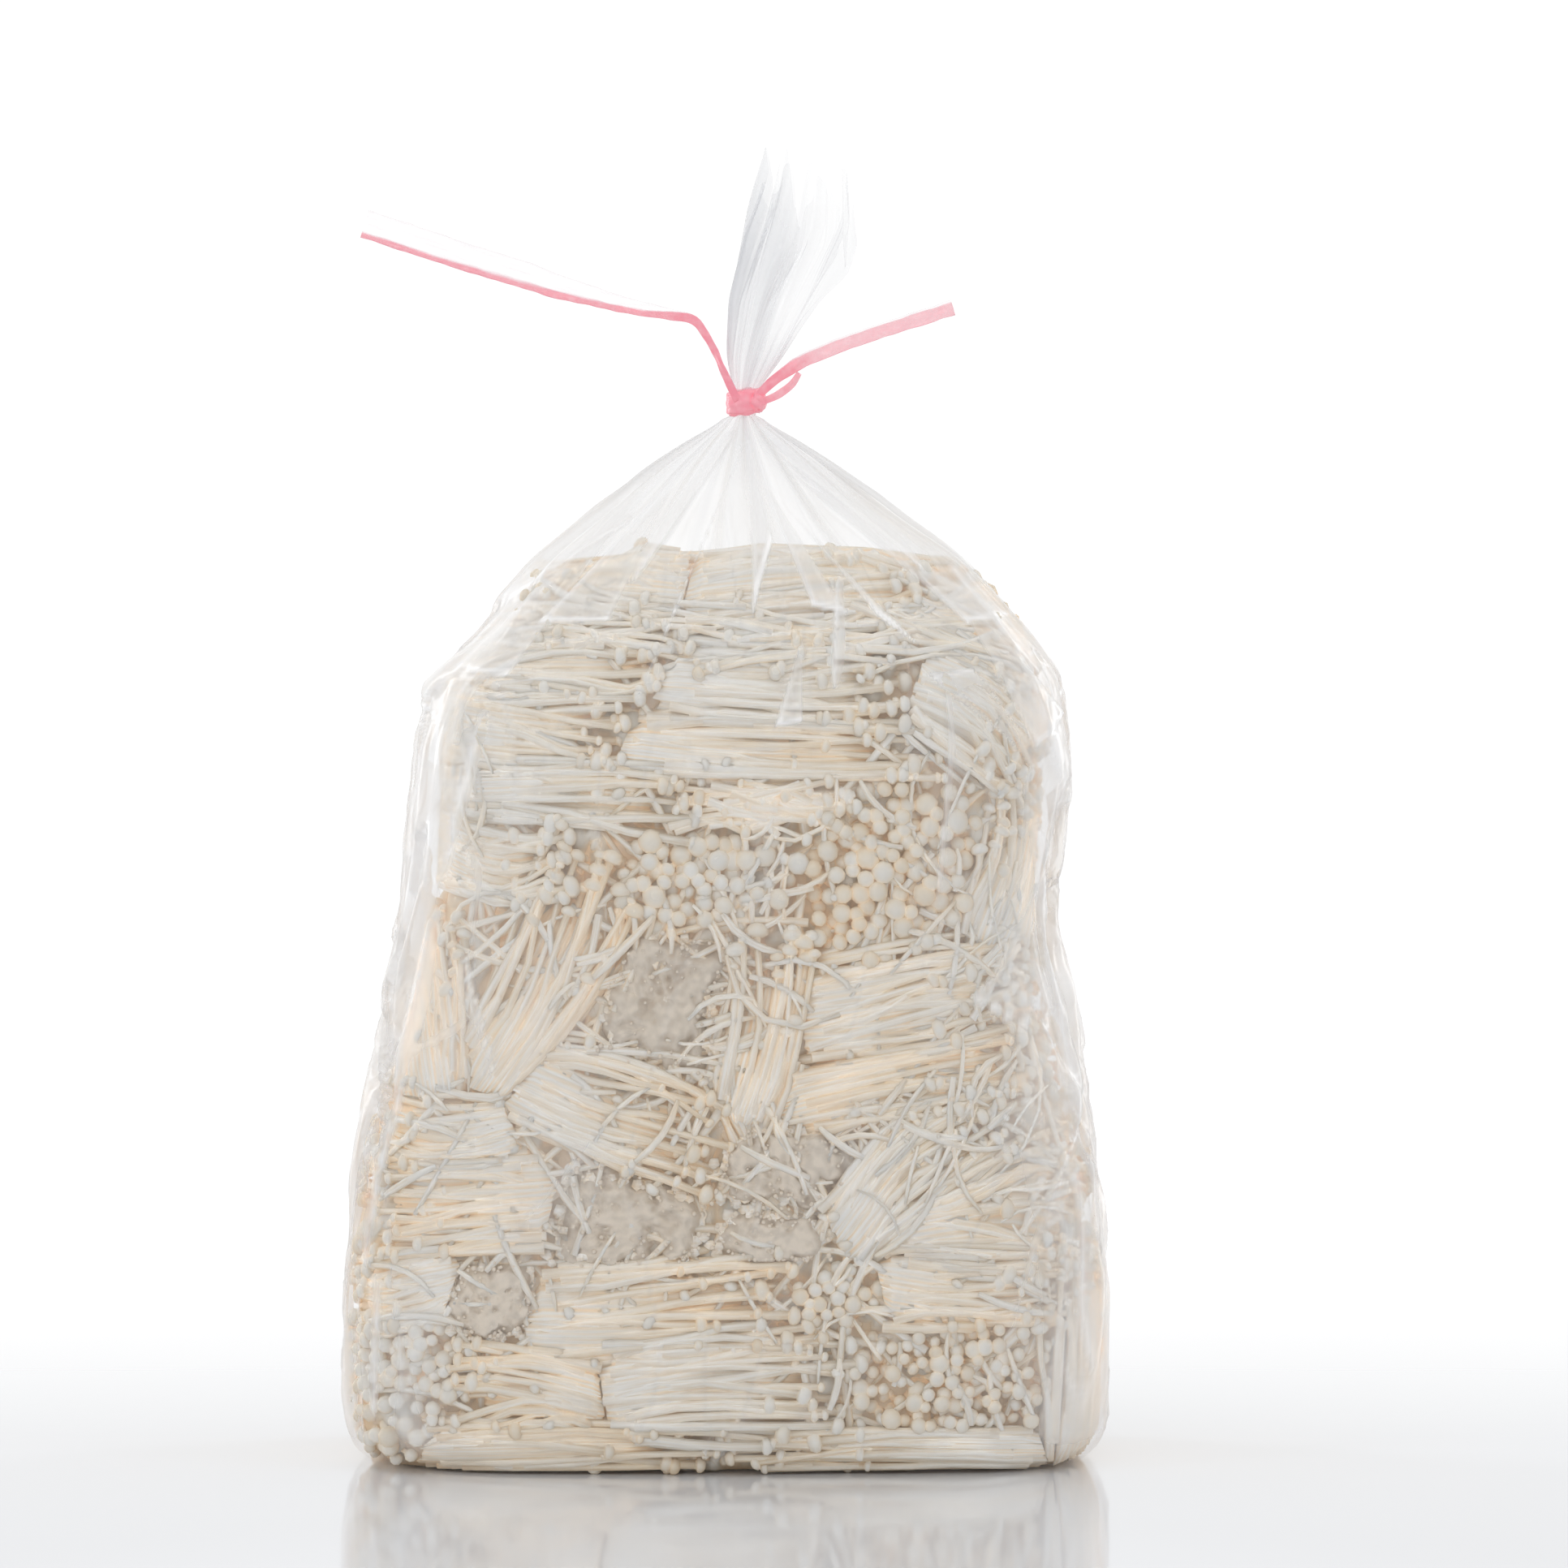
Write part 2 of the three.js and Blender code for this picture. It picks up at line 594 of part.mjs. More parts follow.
const flesh = new THREE.MeshStandardMaterial({ color: 0xeee3cc, roughness: 0.55, metalness: 0 });
const looseFlesh = new THREE.MeshStandardMaterial({ color: 0xf3ebda, roughness: 0.55, metalness: 0 });
const clearFilm = new THREE.MeshStandardMaterial({
  color: 0xf4f6fa,
  roughness: 0.12,
  metalness: 0,
  transparent: true,
  opacity: 0.25,
});
const pinkTape = new THREE.MeshStandardMaterial({ color: 0xe0607a, roughness: 0.35, metalness: 0 });

const object = new THREE.Group();
object.add(meshOf("bag_film", bag(), clearFilm), meshOf("tie_tape", tie(), pinkTape));
for (const [face, plans, side] of [["front", FRONT, -1], ["back", backPlan(), 1]]) {
  plans.forEach((plan, k) => {
    const name = `bunch_${face}_${String(k + 1).padStart(2, "0")}`;
    object.add(meshOf(name, bunch(plan, plans, side, 100 * side + k + 1), flesh));
  });
  object.add(meshOf(`loose_stems_${face}`, looseStems(side, 5 + side), looseFlesh));
}

export default object;
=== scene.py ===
"""Bunches of enoki mushrooms packed in a clear bag, whose gathered neck is tied with flat plastic tape.

Everything is in metres, with +Z up and -Y the front. Each part is a surface worked out with numpy:
stems and caps are profiles carried along paths, and the film and the tape are functions on a grid.
"""

import bpy
import numpy as np
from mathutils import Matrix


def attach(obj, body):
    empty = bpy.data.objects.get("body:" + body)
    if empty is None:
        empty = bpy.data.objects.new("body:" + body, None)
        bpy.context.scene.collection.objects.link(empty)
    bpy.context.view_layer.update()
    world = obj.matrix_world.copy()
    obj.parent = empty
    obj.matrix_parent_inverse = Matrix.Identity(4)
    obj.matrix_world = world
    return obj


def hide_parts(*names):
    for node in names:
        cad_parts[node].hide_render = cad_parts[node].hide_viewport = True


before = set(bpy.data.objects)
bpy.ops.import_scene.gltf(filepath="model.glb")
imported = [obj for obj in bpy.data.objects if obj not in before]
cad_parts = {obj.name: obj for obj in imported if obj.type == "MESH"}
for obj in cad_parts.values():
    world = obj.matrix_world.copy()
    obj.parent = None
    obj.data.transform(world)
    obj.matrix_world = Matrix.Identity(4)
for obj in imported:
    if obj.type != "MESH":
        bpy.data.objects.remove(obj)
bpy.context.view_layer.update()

bl_info = {
    "name": "Enoki Bag",
    "version": (1, 0, 0),
    "blender": (4, 5, 0),
    "location": "3D View > Sidebar > Enoki Bag",
    "description": "Builds bunches of enoki mushrooms in a clear tied bag",
    "category": "Object",
}

MM = 0.001
GAP = 0.4 * MM

# The film's outline by height, in mm: height, half width, half depth, sideways lean and squareness.
OUTLINE = np.array([
    (0, 107, 55, 0, 4.6), (3, 114, 61, 0, 4.6), (12, 119, 66, 0, 4.6), (48, 120, 67, 0, 4.6),
    (92, 117, 66.5, 0.3, 4.6), (136, 110, 65.5, 1.2, 4.4), (171, 105, 64.5, 2.5, 4.2),
    (224, 102, 62, 5.6, 4), (243, 98, 58.5, 6.6, 3.6), (256, 87, 53, 9, 3.2), (279, 67, 41, 7.8, 2.8),
    (292, 49, 31, 6, 2.4), (306, 29, 20, 5.4, 2.2), (316, 14, 11.5, 5.3, 2), (323, 3.7, 3.7, 5.2, 2),
    (331, 3.7, 3.7, 6.2, 2), (340, 7.6, 6.5, 8.6, 2), (360, 12.5, 9, 15, 2), (382, 15.5, 9.6, 23, 2),
    (396, 12.5, 8.4, 25, 2), (406, 11, 7.6, 25.5, 2),
])
# The slack beside the bunches, in mm by height: the film stands off most at mid-height.
SLACK = np.array([
    (0, 3), (60, 3.5), (104, 5.5), (141, 11), (179, 12), (204, 10.5), (230, 6.5), (256, 3), (281, 2),
])
FILL_TOP = 281 * MM
NECK_LOW, NECK_HIGH, NECK_RADIUS = 323 * MM, 331 * MM, 3.7 * MM
INSET = 1.6 * MM  # from the film to the bunches, front and back
MIDDLE = 1.0 * MM  # from the bag's middle plane to the bunches
GIRTH = 600 * MM  # the way round the film that its folds are laid out on
FILLING_DEPTH, FILLING_TOP = 7.2 * MM, 272  # how far the filling stays under the film, and its top in mm
VIEW_WIDTH, VIEW_LIFT = 487 * MM, 2.5  # the width the camera sees at the bag, and how far it looks down
# How many times its own half width a bunch may reach, each way, where its neighbours leave it room.
WIDEST = {"lies": 2.6, "caps": 2.4, "pad": 1.7}
# How close two caps of a bunch may come, as a share of their two radii.
CLOSEST = {"lies": 0.45, "caps": 0.64, "pad": 0.64}

# Bunches against the front film, in mm: how each lies, its base end and its cap end as x, z, and its
# half width at each end. One that shows its caps or its base pad has two ends in the face instead.
FRONT = [
    ("lies", -80, 9, -8, 9, 7.8, 8.1), ("lies", 86, 8, 8, 9, 7.8, 8.1),
    ("lies", -34, 26, 30, 29, 14.4, 19.6), ("lies", -40, 25, -76, 28, 10.8, 13.8),
    ("caps", -94, 26, -94, 38, 14, 14), ("caps", 50, 30, 86, 31, 17, 17),
    ("lies", 109, 16, 110, 62, 9.6, 10.4), ("lies", -90, 58, -114, 54, 10.8, 13.8),
    ("pad", -76, 53, -68, 53, 12, 12), ("lies", -50, 48, 14, 53, 14.4, 16.1),
    ("caps", 28, 53, 40, 54, 9, 9), ("lies", 58, 58, 104, 57, 12, 13.8),
    ("lies", -66, 84, -112, 81, 14.4, 18.4), ("pad", -40, 77, -18, 77, 14, 14),
    ("pad", 4, 72, 24, 72, 8, 8), ("pad", 8, 95, 27, 94, 12, 12),
    ("lies", 46, 80, 80, 108, 13.2, 17.2), ("lies", 63, 76, 110, 73, 14.4, 17.2),
    ("lies", -76, 106, -110, 105, 10.8, 12.6), ("lies", -54, 117, -8, 102, 13.2, 15),
    ("lies", 30, 116, 98, 126, 10.8, 15), ("lies", -90, 124, -94, 170, 10.8, 12.6),
    ("lies", -68, 128, -40, 182, 12, 18.4), ("pad", -18, 140, -18, 152, 15, 15),
    ("lies", 6, 116, 15, 158, 9.6, 13.8), ("lies", 37, 142, 94, 150, 16.8, 20.7),
    ("lies", -88, 192, -58, 190, 12, 12.6), ("caps", -22, 182, 4, 182, 14, 14),
    ("caps", 48, 174, 52, 192, 20, 20), ("lies", 86, 170, 95, 202, 12, 13.8),
    ("lies", -88, 210, -12, 206, 9.6, 10.4), ("lies", -86, 230, -38, 227, 13.2, 13.8),
    ("lies", -26, 222, 56, 220, 9.6, 11.5), ("lies", 68, 238, 97, 214, 16.8, 18.4),
    ("lies", -72, 250, -22, 251, 10.8, 12.6), ("lies", -12, 243, 50, 242, 12, 13.8),
    ("lies", 62, 262, 88, 250, 9.6, 10.4), ("lies", -16, 270, -54, 264, 10.8, 12.6),
    ("lies", -8, 268, 60, 271, 10.8, 12.6),
]
BACK_COURSES = (3, 3, 2, 3, 2, 3, 1)

# Long straight folds in the film's front, in mm: x, z at the upper end and x, z at the low end.
LONG_FOLDS = np.array([
    (-12, 316, -60, 272), (2, 316, -28, 272), (15, 312, 60, 276), (-30, 290, -84, 258), (34, 272, 33, 240),
    (-66, 262, -92, 236), (70, 276, 96, 244), (-84, 242, -92, 180), (-91, 170, -102, 114),
    (-78, 226, -84, 196), (93, 242, 106, 204), (98, 196, 112, 140), (102, 168, 109, 106),
    (-99, 118, -112, 62), (108, 92, 112, 30), (-107, 60, -108, 16),
])
# Folded sheets on the front of the shoulders, in mm: an upper corner and two low corners, as x, z.
SHOULDER_SHEETS = np.array([
    (-22.8, 303.7, -83.2, 245.5, -66.6, 243.7), (-15.8, 301.4, -57.3, 259.8, -35.4, 260.3),
    (0.3, 301.4, -23.9, 243.7, -14.7, 264.5), (7.2, 312.9, 8.6, 262.8, 14.5, 285.2),
    (9.5, 306, 26.8, 264.9, 37.2, 263.1), (18.7, 294.4, 47.1, 261.7, 58.4, 253.8),
    (18.7, 306, 74.1, 259.8, 87.5, 261.7), (24.5, 259.8, 15.3, 228.7, 23.5, 229.9),
    (-44, 290, -97, 236, -88, 228), (62, 284, 104, 232, 96, 222),
])


# ---- Sizes and colours ----

class EnokiBunchSettings(bpy.types.PropertyGroup):
    """Sizes and colours of the mushrooms"""

    stem_radius: bpy.props.FloatProperty(
        name="Stem radius", description="Usual radius of a stem", default=1.4 * MM, min=0.0005, max=0.004,
        subtype="DISTANCE", unit="LENGTH", precision=5)
    cap_radius: bpy.props.FloatProperty(
        name="Cap radius", description="Usual radius of a cap", default=3.15 * MM, min=0.001, max=0.008,
        subtype="DISTANCE", unit="LENGTH", precision=5)
    pitch: bpy.props.FloatProperty(
        name="Stem pitch", description="Distance from one stem to the next in a bunch", default=2.35 * MM,
        min=0.0015, max=0.01, subtype="DISTANCE", unit="LENGTH", precision=5)
    stem_color: bpy.props.FloatVectorProperty(
        name="Stem", description="Colour of the free part of a stem", default=(0.865, 0.847, 0.795), size=3,
        subtype="COLOR", min=0, max=1)
    base_color: bpy.props.FloatVectorProperty(
        name="Fused base", description="Colour of the fused stems at a cut base", default=(0.905, 0.89, 0.85),
        size=3, subtype="COLOR", min=0, max=1)
    cap_color: bpy.props.FloatVectorProperty(
        name="Cap", description="Colour of a cap", default=(0.865, 0.847, 0.795), size=3,
        subtype="COLOR", min=0, max=1)
    # The painted shade colour, which the flesh takes where its painted shade is deepest.
    painted_shade_color: bpy.props.FloatVectorProperty(
        name="Deep", description="Tint of the flesh deep inside a bunch", default=(1.0, 0.765, 0.51), size=3,
        subtype="COLOR", min=0, max=1)
    pad_color: bpy.props.FloatVectorProperty(
        name="Spongy base", description="Colour of the spongy pad under a bunch",
        default=(0.715, 0.62, 0.505), size=3, subtype="COLOR", min=0, max=1)


class EnokiFilmSettings(bpy.types.PropertyGroup):
    """Sizes and colours of the clear film and the tape that ties it"""

    columns: bpy.props.IntProperty(
        name="Columns", description="Points round the film", default=384, min=64, max=512)
    pleats: bpy.props.IntProperty(
        name="Pleats", description="Gathers that run down from the neck", default=24, min=6, max=80)
    film_color: bpy.props.FloatVectorProperty(
        name="Film", description="Colour of the film's haze", default=(0.84, 0.86, 0.905), size=3,
        subtype="COLOR", min=0, max=1)
    haze: bpy.props.FloatProperty(
        name="Haze", description="How much of the film shows where it faces the eye", default=0.05,
        min=0, max=1, subtype="FACTOR")
    stripe_color: bpy.props.FloatVectorProperty(
        name="Stripe", description="Colour of the tape's stripe", default=(0.94, 0.24, 0.32), size=3,
        subtype="COLOR", min=0, max=1)


# ---- Small tools ----

def rng(seed):
    """A repeatable source of random numbers."""
    return np.random.default_rng(seed)


def unit(v):
    """Vectors divided by their lengths."""
    return v / np.maximum(np.linalg.norm(v, axis=-1, keepdims=True), 1e-12)


def smoothstep(low, high, v):
    """3t² - 2t³, with t the share of the way from low to high."""
    t = np.clip((v - low) / (high - low), 0, 1)
    return t * t * (3 - 2 * t)


def waves(points, scale, seed, count=24):
    """Smooth noise of about ±1: the mean of cosines with random directions and wavelengths near scale."""
    random = rng(seed)
    ways = unit(random.normal(size=(count, points.shape[-1])))
    ways = ways * (2 * np.pi / (np.asarray(scale) * random.uniform(0.6, 1.7, (count, 1))))
    return np.cos(points @ ways.T + random.uniform(0, 2 * np.pi, count)).sum(-1) * np.sqrt(2 / count) * 0.7


def outline(z):
    """Half width, half depth, lean and squareness of the film at heights z: the table's rows over 6 mm."""
    levels = [z + shift for shift in np.linspace(-3, 3, 7) * MM]
    rows = [
        np.mean([np.interp(level, OUTLINE[:, 0] * MM, OUTLINE[:, k]) for level in levels], axis=0)
        for k in range(1, 5)
    ]
    held = (z > NECK_LOW - 1 * MM) & (z < NECK_HIGH + 1 * MM)
    wide, deep = (np.where(held, NECK_RADIUS, rows[k] * MM) for k in (0, 1))
    return wide, deep, rows[2] * MM, rows[3]


def slack_at(z):
    """The slack beside the bunches at heights z."""
    return np.interp(z, SLACK[:, 0] * MM, SLACK[:, 1] * MM)


def chamber(z):
    """The room for the bunches at heights z: the film's outline, less the slack beside and before them."""
    wide, deep, lean, square = outline(z)
    return wide - slack_at(z), deep - INSET, lean, square


def top_at(x):
    """The height of the bunches' top over x: uneven, and lower toward the shoulders."""
    uneven = 2.4 * waves(x[..., None], 26 * MM, 31) + 1.6 * waves(x[..., None], 9 * MM, 32)
    return FILL_TOP + uneven * MM - 6 * MM * smoothstep(26 * MM, 66 * MM, np.abs(x - 8 * MM))


def depth_at(x, z):
    """Half the depth of the bunches' room at x, z: D (1 - |x/W|^n)^(1/n)."""
    wide, deep, lean, square = chamber(np.clip(z, 0, FILL_TOP))
    out = np.minimum(np.abs(x - lean) / wide, 0.995)
    return deep * (1 - out**square) ** (1 / square)


def shadowed(mesh, verts):
    """Painted shade on tone_and_shade: highest for what faces the film or up, lower for what turns away, and
    lower in the bag's middle.

    The middle's share is 0.3 exp(-(x / 60 mm)^2 - ((z - 150 mm) / 75 mm)^2).
    """
    normals = np.empty(verts.size, dtype=np.float32)
    mesh.vertices.foreach_get("normal", normals)
    normals = normals.reshape(-1, 3)
    seen = np.maximum(normals[:, 1] * np.sign(verts[:, 1]), 0.8 * normals[:, 2])
    middle = np.exp(-((verts[:, 0] / (60 * MM)) ** 2) - ((verts[:, 2] - 150 * MM) / (75 * MM)) ** 2)
    return 0.25 - 0.95 * (1 - np.clip(seen, 0, 1)) - 0.3 * middle


def new_mesh(name, verts, faces, values=None, smooth=True):
    """A mesh object from one array of points, a list of face arrays and named point values."""
    mesh = bpy.data.meshes.new(name)
    verts = np.ascontiguousarray(verts.reshape(-1, 3), dtype=np.float32)
    sizes = np.concatenate([np.full(len(f), f.shape[1], dtype=np.int32) for f in faces])
    corners = np.concatenate([f.reshape(-1) for f in faces]).astype(np.int32)
    mesh.vertices.add(len(verts))
    mesh.vertices.foreach_set("co", verts.ravel())
    mesh.loops.add(len(corners))
    mesh.loops.foreach_set("vertex_index", corners)
    mesh.polygons.add(len(sizes))
    mesh.polygons.foreach_set("loop_start", np.concatenate([[0], np.cumsum(sizes)[:-1]]).astype(np.int32))
    mesh.polygons.foreach_set("loop_total", sizes)
    mesh.update(calc_edges=True)
    mesh.polygons.foreach_set("use_smooth", np.full(len(sizes), smooth))
    values = dict(values or {})
    # Painted shade from shadowed is added to tone_and_shade.
    if "tone_and_shade" in values:
        values["tone_and_shade"] = values["tone_and_shade"] + shadowed(mesh, verts)
    for label, each in values.items():
        kind, key = ("FLOAT_VECTOR", "vector") if each.ndim == 2 else ("FLOAT", "value")
        mesh.attributes.new(label, kind, "POINT").data.foreach_set(
            key, np.ascontiguousarray(each, dtype=np.float32).ravel())
    mesh.validate()
    obj = bpy.data.objects.new(name, mesh)
    bpy.context.scene.collection.objects.link(obj)
    return obj


def grid_faces(rows, columns, closed):
    """Quads of a grid of points, row by row. closed joins the last column to the first."""
    r, c = np.meshgrid(np.arange(rows - 1), np.arange(columns if closed else columns - 1), indexing="ij")
    a, b = r * columns + c, r * columns + (c + 1) % columns
    return np.stack([a, b, b + columns, a + columns], axis=-1).reshape(-1, 4)


def tubes(paths, radii, sides, flat=1.0):
    """Round tubes: point = path + radius (cos a n + flat sin a b), for n paths of m points each.

    n and b are square to the path. Returns points, face arrays, and each point's way round and along, in mm.
    """
    count, rings = paths.shape[:2]
    tangents = unit(np.gradient(paths, axis=1))
    aim = unit(paths[:, -1] - paths[:, 0])[:, None]
    spare = np.where(np.abs(aim[..., 1:2]) < 0.8, np.array([0.0, 1.0, 0.0]), np.array([1.0, 0.0, 0.0]))
    normal = unit(spare - (spare * tangents).sum(-1, keepdims=True) * tangents)
    other = np.cross(tangents, normal)
    turn = np.arange(sides) / sides
    angle = -2 * np.pi * turn
    ring = np.cos(angle)[:, None] * other[:, :, None] + flat * np.sin(angle)[:, None] * normal[:, :, None]
    verts = paths[:, :, None] + radii[:, :, None, None] * ring
    quads = grid_faces(rings, sides, True)[None] + (np.arange(count) * rings * sides)[:, None, None]
    first = np.arange(count)[:, None] * rings * sides + np.arange(sides)[::-1][None]
    last = np.arange(count)[:, None] * rings * sides + (rings - 1) * sides + np.arange(sides)[None]
    round_way = np.abs(turn - 0.5)[None, None] * 2 * np.pi * radii.mean(axis=1)[:, None, None] / MM
    long_way = np.concatenate([np.zeros((count, 1)), np.linalg.norm(np.diff(paths, axis=1), axis=-1)], axis=1)
    long_way = np.broadcast_to(np.cumsum(long_way, axis=1)[..., None] / MM, (count, rings, sides))
    grain = np.stack([np.broadcast_to(round_way, long_way.shape), long_way], axis=-1)
    return verts.reshape(-1, 3), [quads.reshape(-1, 4), first, last], grain


def flesh_part(verts, faces, tone_and_shade, along, grain, each=None):
    """One part of a mesh with its point values: tone, share along the stem, and the way of the grain.

    each tells one stem's grain from the next one's; it is the tone unless it is given.
    """
    each = tone_and_shade if each is None else np.full(tone_and_shade.shape, each)
    grain = np.concatenate([grain.reshape(-1, 2), each.reshape(-1, 1) * 97], axis=1)
    return verts.reshape(-1, 3), faces, {"tone_and_shade": tone_and_shade.ravel(), "along": along.ravel(), "grain": grain}


def deep_shaded(part, side, strength=0.75):
    """The same part with painted shade: its tone_and_shade lowered where it lies deep behind the film or
    under the bunches' top.
    """
    verts, faces, values = part
    x, y, z = verts.T
    under = np.minimum(depth_at(x, z) - side * y, top_at(x) - z)
    return verts, faces, {**values, "tone_and_shade": values["tone_and_shade"] - strength * smoothstep(1.5 * MM, 9 * MM, under)}


def merged(parts):
    """Several sets of points, face arrays and named values joined into one."""
    starts = np.cumsum([0] + [len(part[0]) for part in parts])
    faces = [f + start for part, start in zip(parts, starts) for f in part[1]]
    values = {label: np.concatenate([part[2][label] for part in parts]) for label in parts[0][2]}
    return np.concatenate([part[0] for part in parts]), faces, values


# ---- Where the bunches lie ----

def plans_of(side):
    """The bunches of one face as rows: kind, base end, cap end, and half widths, in metres."""
    if side < 0:
        return [
            (kind, np.array(ends[:2]) * MM, np.array(ends[2:]) * MM, base * MM, fan * MM)
            for kind, *ends, base, fan in FRONT
        ]
    random = rng(11)
    plans = []
    step = FILL_TOP / len(BACK_COURSES)
    for course, count in enumerate(BACK_COURSES):
        z = step * (course + 0.5)
        wide, _, lean, _ = outline(z)
        length = 2 * (wide - 7.6 * MM) / count
        for k in range(count):
            x = lean + length * (k + 0.5 - count / 2)
            reach = length / 2 - 6 * MM
            tilt = random.uniform(-0.1, 0.1) * reach
            way = 1 if (course + k) % 2 else -1
            plans.append(("lies", np.array([x - way * reach, z - way * tilt]),
                          np.array([x + way * reach, z + way * tilt]), 14 * MM, 17 * MM))
    return plans


def partings(plans, index):
    """Lines that part one bunch from the rest of its face, as rows a, b, c: a x + b z < c on its own side.

    Each runs square to the shortest way between two bunches' lines, nearer the slimmer of the two.
    """
    share = np.linspace(0, 1, 33)[:, None]
    _, start, end, base, fan = plans[index]
    mine, my_half = start + share * (end - start), base + share[:, 0] * (fan - base)
    lines = []
    for other, (_, start, end, base, fan) in enumerate(plans):
        if other == index:
            continue
        theirs, half = start + share * (end - start), base + share[:, 0] * (fan - base)
        apart = np.linalg.norm(mine[:, None] - theirs[None], axis=-1)
        i, j = np.unravel_index(apart.argmin(), apart.shape)
        away = unit(theirs[j] - mine[i])
        lines.append((*away, away @ mine[i] + apart[i, j] * my_half[i] / (my_half[i] + half[j]) - GAP / 2))
    return np.array(lines)


def room(points, ways, lines):
    """How far each point can go along its heading before a parting line, the film, the floor or the top."""
    wide, _, lean, _ = chamber(points[:, 1])
    speeds = ways @ lines[:, :2].T
    gaps = lines[:, 2] - points @ lines[:, :2].T
    ahead = np.where(speeds > 0.05, gaps / np.maximum(speeds, 0.05), 1).min(axis=1)
    side, up = np.abs(ways[:, 0]), np.abs(ways[:, 1])
    to_film = (wide - np.sign(ways[:, 0]) * (points[:, 0] - lean)) / np.maximum(side, 0.05)
    to_end = np.where(ways[:, 1] > 0, FILL_TOP - points[:, 1], points[:, 1] - 1 * MM) / np.maximum(up, 0.05)
    return np.clip(np.minimum.reduce([ahead, to_film, to_end]), 0, 1)


def squeezed(points, radius, lines, side, lap=0.0):
    """Points moved back inside their bunch's own space: the parting lines plus a lap, then film and floor."""
    p = points.copy()
    for _ in range(2):
        for a, b, limit in lines:
            over = np.maximum(p[..., 0] * a + p[..., 2] * b + radius - limit - lap, 0)
            p[..., 0] -= over * a
            p[..., 2] -= over * b
    p[..., 2] = np.clip(p[..., 2], 1.0 * MM + radius, top_at(p[..., 0]) - radius)
    wide, deep, lean, square = chamber(p[..., 2])
    u = np.abs(p[..., 0] - lean) / (wide - radius)
    v = np.abs(p[..., 1]) / (deep - radius)
    out = np.maximum((u**square + v**square) ** (1 / square), 1)
    p[..., 0] = lean + (p[..., 0] - lean) / out
    p[..., 1] = side * np.maximum(side * p[..., 1] / out, radius + GAP / 2)
    return p


class Bed:
    """The space of one bunch, as a mapping from t, u, v to points.

    In a bunch that lies along the film, t runs from its cut base to its caps, u across it, and v from the
    bag's middle (-1) to the film (1). In one that points at the film, t runs between the middle and the
    film, and u, v span the face that shows. It is as wide, each way, as its neighbours leave it room.
    """

    def __init__(self, plans, index, side):
        self.kind, start, end, base, fan = plans[index]
        self.side, self.lines = side, partings(plans, index)
        self.bow = rng(300 + index).uniform(-0.42, 0.42)
        grow = unit(end - start)
        if self.kind == "lies":
            ends = room(np.array([start, end]), np.array([-grow, grow]), self.lines)
            start, end = start - grow * min(ends[0], 13 * MM), end + grow * min(ends[1] + 1 * MM, 10 * MM)
            self.knots = np.linspace(0, 1, 13)
            spots = start + self.knots[:, None] * (end - start)
            plain = base + self.knots * (fan - base)
            self.across = np.array([grow[1], -grow[0]]) * side
            ways = [np.broadcast_to(way, spots.shape) for way in (self.across, -self.across)]
            most = WIDEST["lies"] * plain
            self.right, self.left = (
                self.eased(np.clip(room(spots, way, self.lines), plain, most)) for way in ways
            )
            self.start, self.run = start, end - start
        else:
            outward = side if self.kind == "caps" else -side
            self.start, self.across = (start + end) / 2, grow
            self.through = np.array([grow[1], -grow[0]]) * outward
            self.knots = np.linspace(-np.pi, np.pi, 48, endpoint=False)
            ways = np.cos(self.knots)[:, None] * self.across + np.sin(self.knots)[:, None] * self.through
            long = np.linalg.norm(end - start) / 2 + base
            plain = 1 / np.hypot(np.cos(self.knots) / long, np.sin(self.knots) / base)
            spots = np.broadcast_to(self.start, ways.shape)
            most = WIDEST[self.kind] * plain
            self.right = self.eased(np.clip(room(spots, ways, self.lines), plain, most), "wrap")

    @staticmethod
    def eased(values, mode="edge"):
        """Each value averaged with its neighbours, twice."""
        for _ in range(2):
            wide = np.pad(values, 1, mode=mode)
            values = (wide[:-2] + 2 * wide[1:-1] + wide[2:]) / 4
        return values

    def at(self, t, u, v):
        """base + t run + u width across, at the depth that v or t gives between the middle and the film.

        The stems of a bunch that lies bow to one side: u grows by bow sin(pi t) (1 - u^2).
        """
        if self.kind == "lies":
            u = u + self.bow * np.sin(np.pi * np.clip(t, 0, 1)) * np.clip(1 - u * u, 0, 1)
            wide = np.where(u > 0, np.interp(t, self.knots, self.right), np.interp(t, self.knots, self.left))
            flat = self.start + t[..., None] * self.run + (u * wide)[..., None] * self.across
            out = (v + 1) / 2
        else:
            reach = np.interp(np.arctan2(v, u), self.knots, self.right, period=2 * np.pi)[..., None]
            flat = self.start + reach * (u[..., None] * self.across + v[..., None] * self.through)
            out = t if self.kind == "caps" else 1 - t
        far = np.maximum(depth_at(flat[..., 0], flat[..., 1]), 6 * MM)
        return np.stack([flat[..., 0], self.side * (MIDDLE + out * (far - MIDDLE)), flat[..., 1]], axis=-1)

    def sizes(self):
        """The bunch's usual half width, and half its depth."""
        return self.right.mean() if self.kind != "lies" else (self.right + self.left).mean() / 2, 28 * MM


# ---- Mushrooms ----

# A cap's rings from its underside to its top: place along its axis and radius, both in cap radii.
CAP_RINGS = np.array([(-0.32, 0.48), (-0.08, 0.92), (0.32, 1.0), (0.72, 0.74), (0.92, 0.32)])


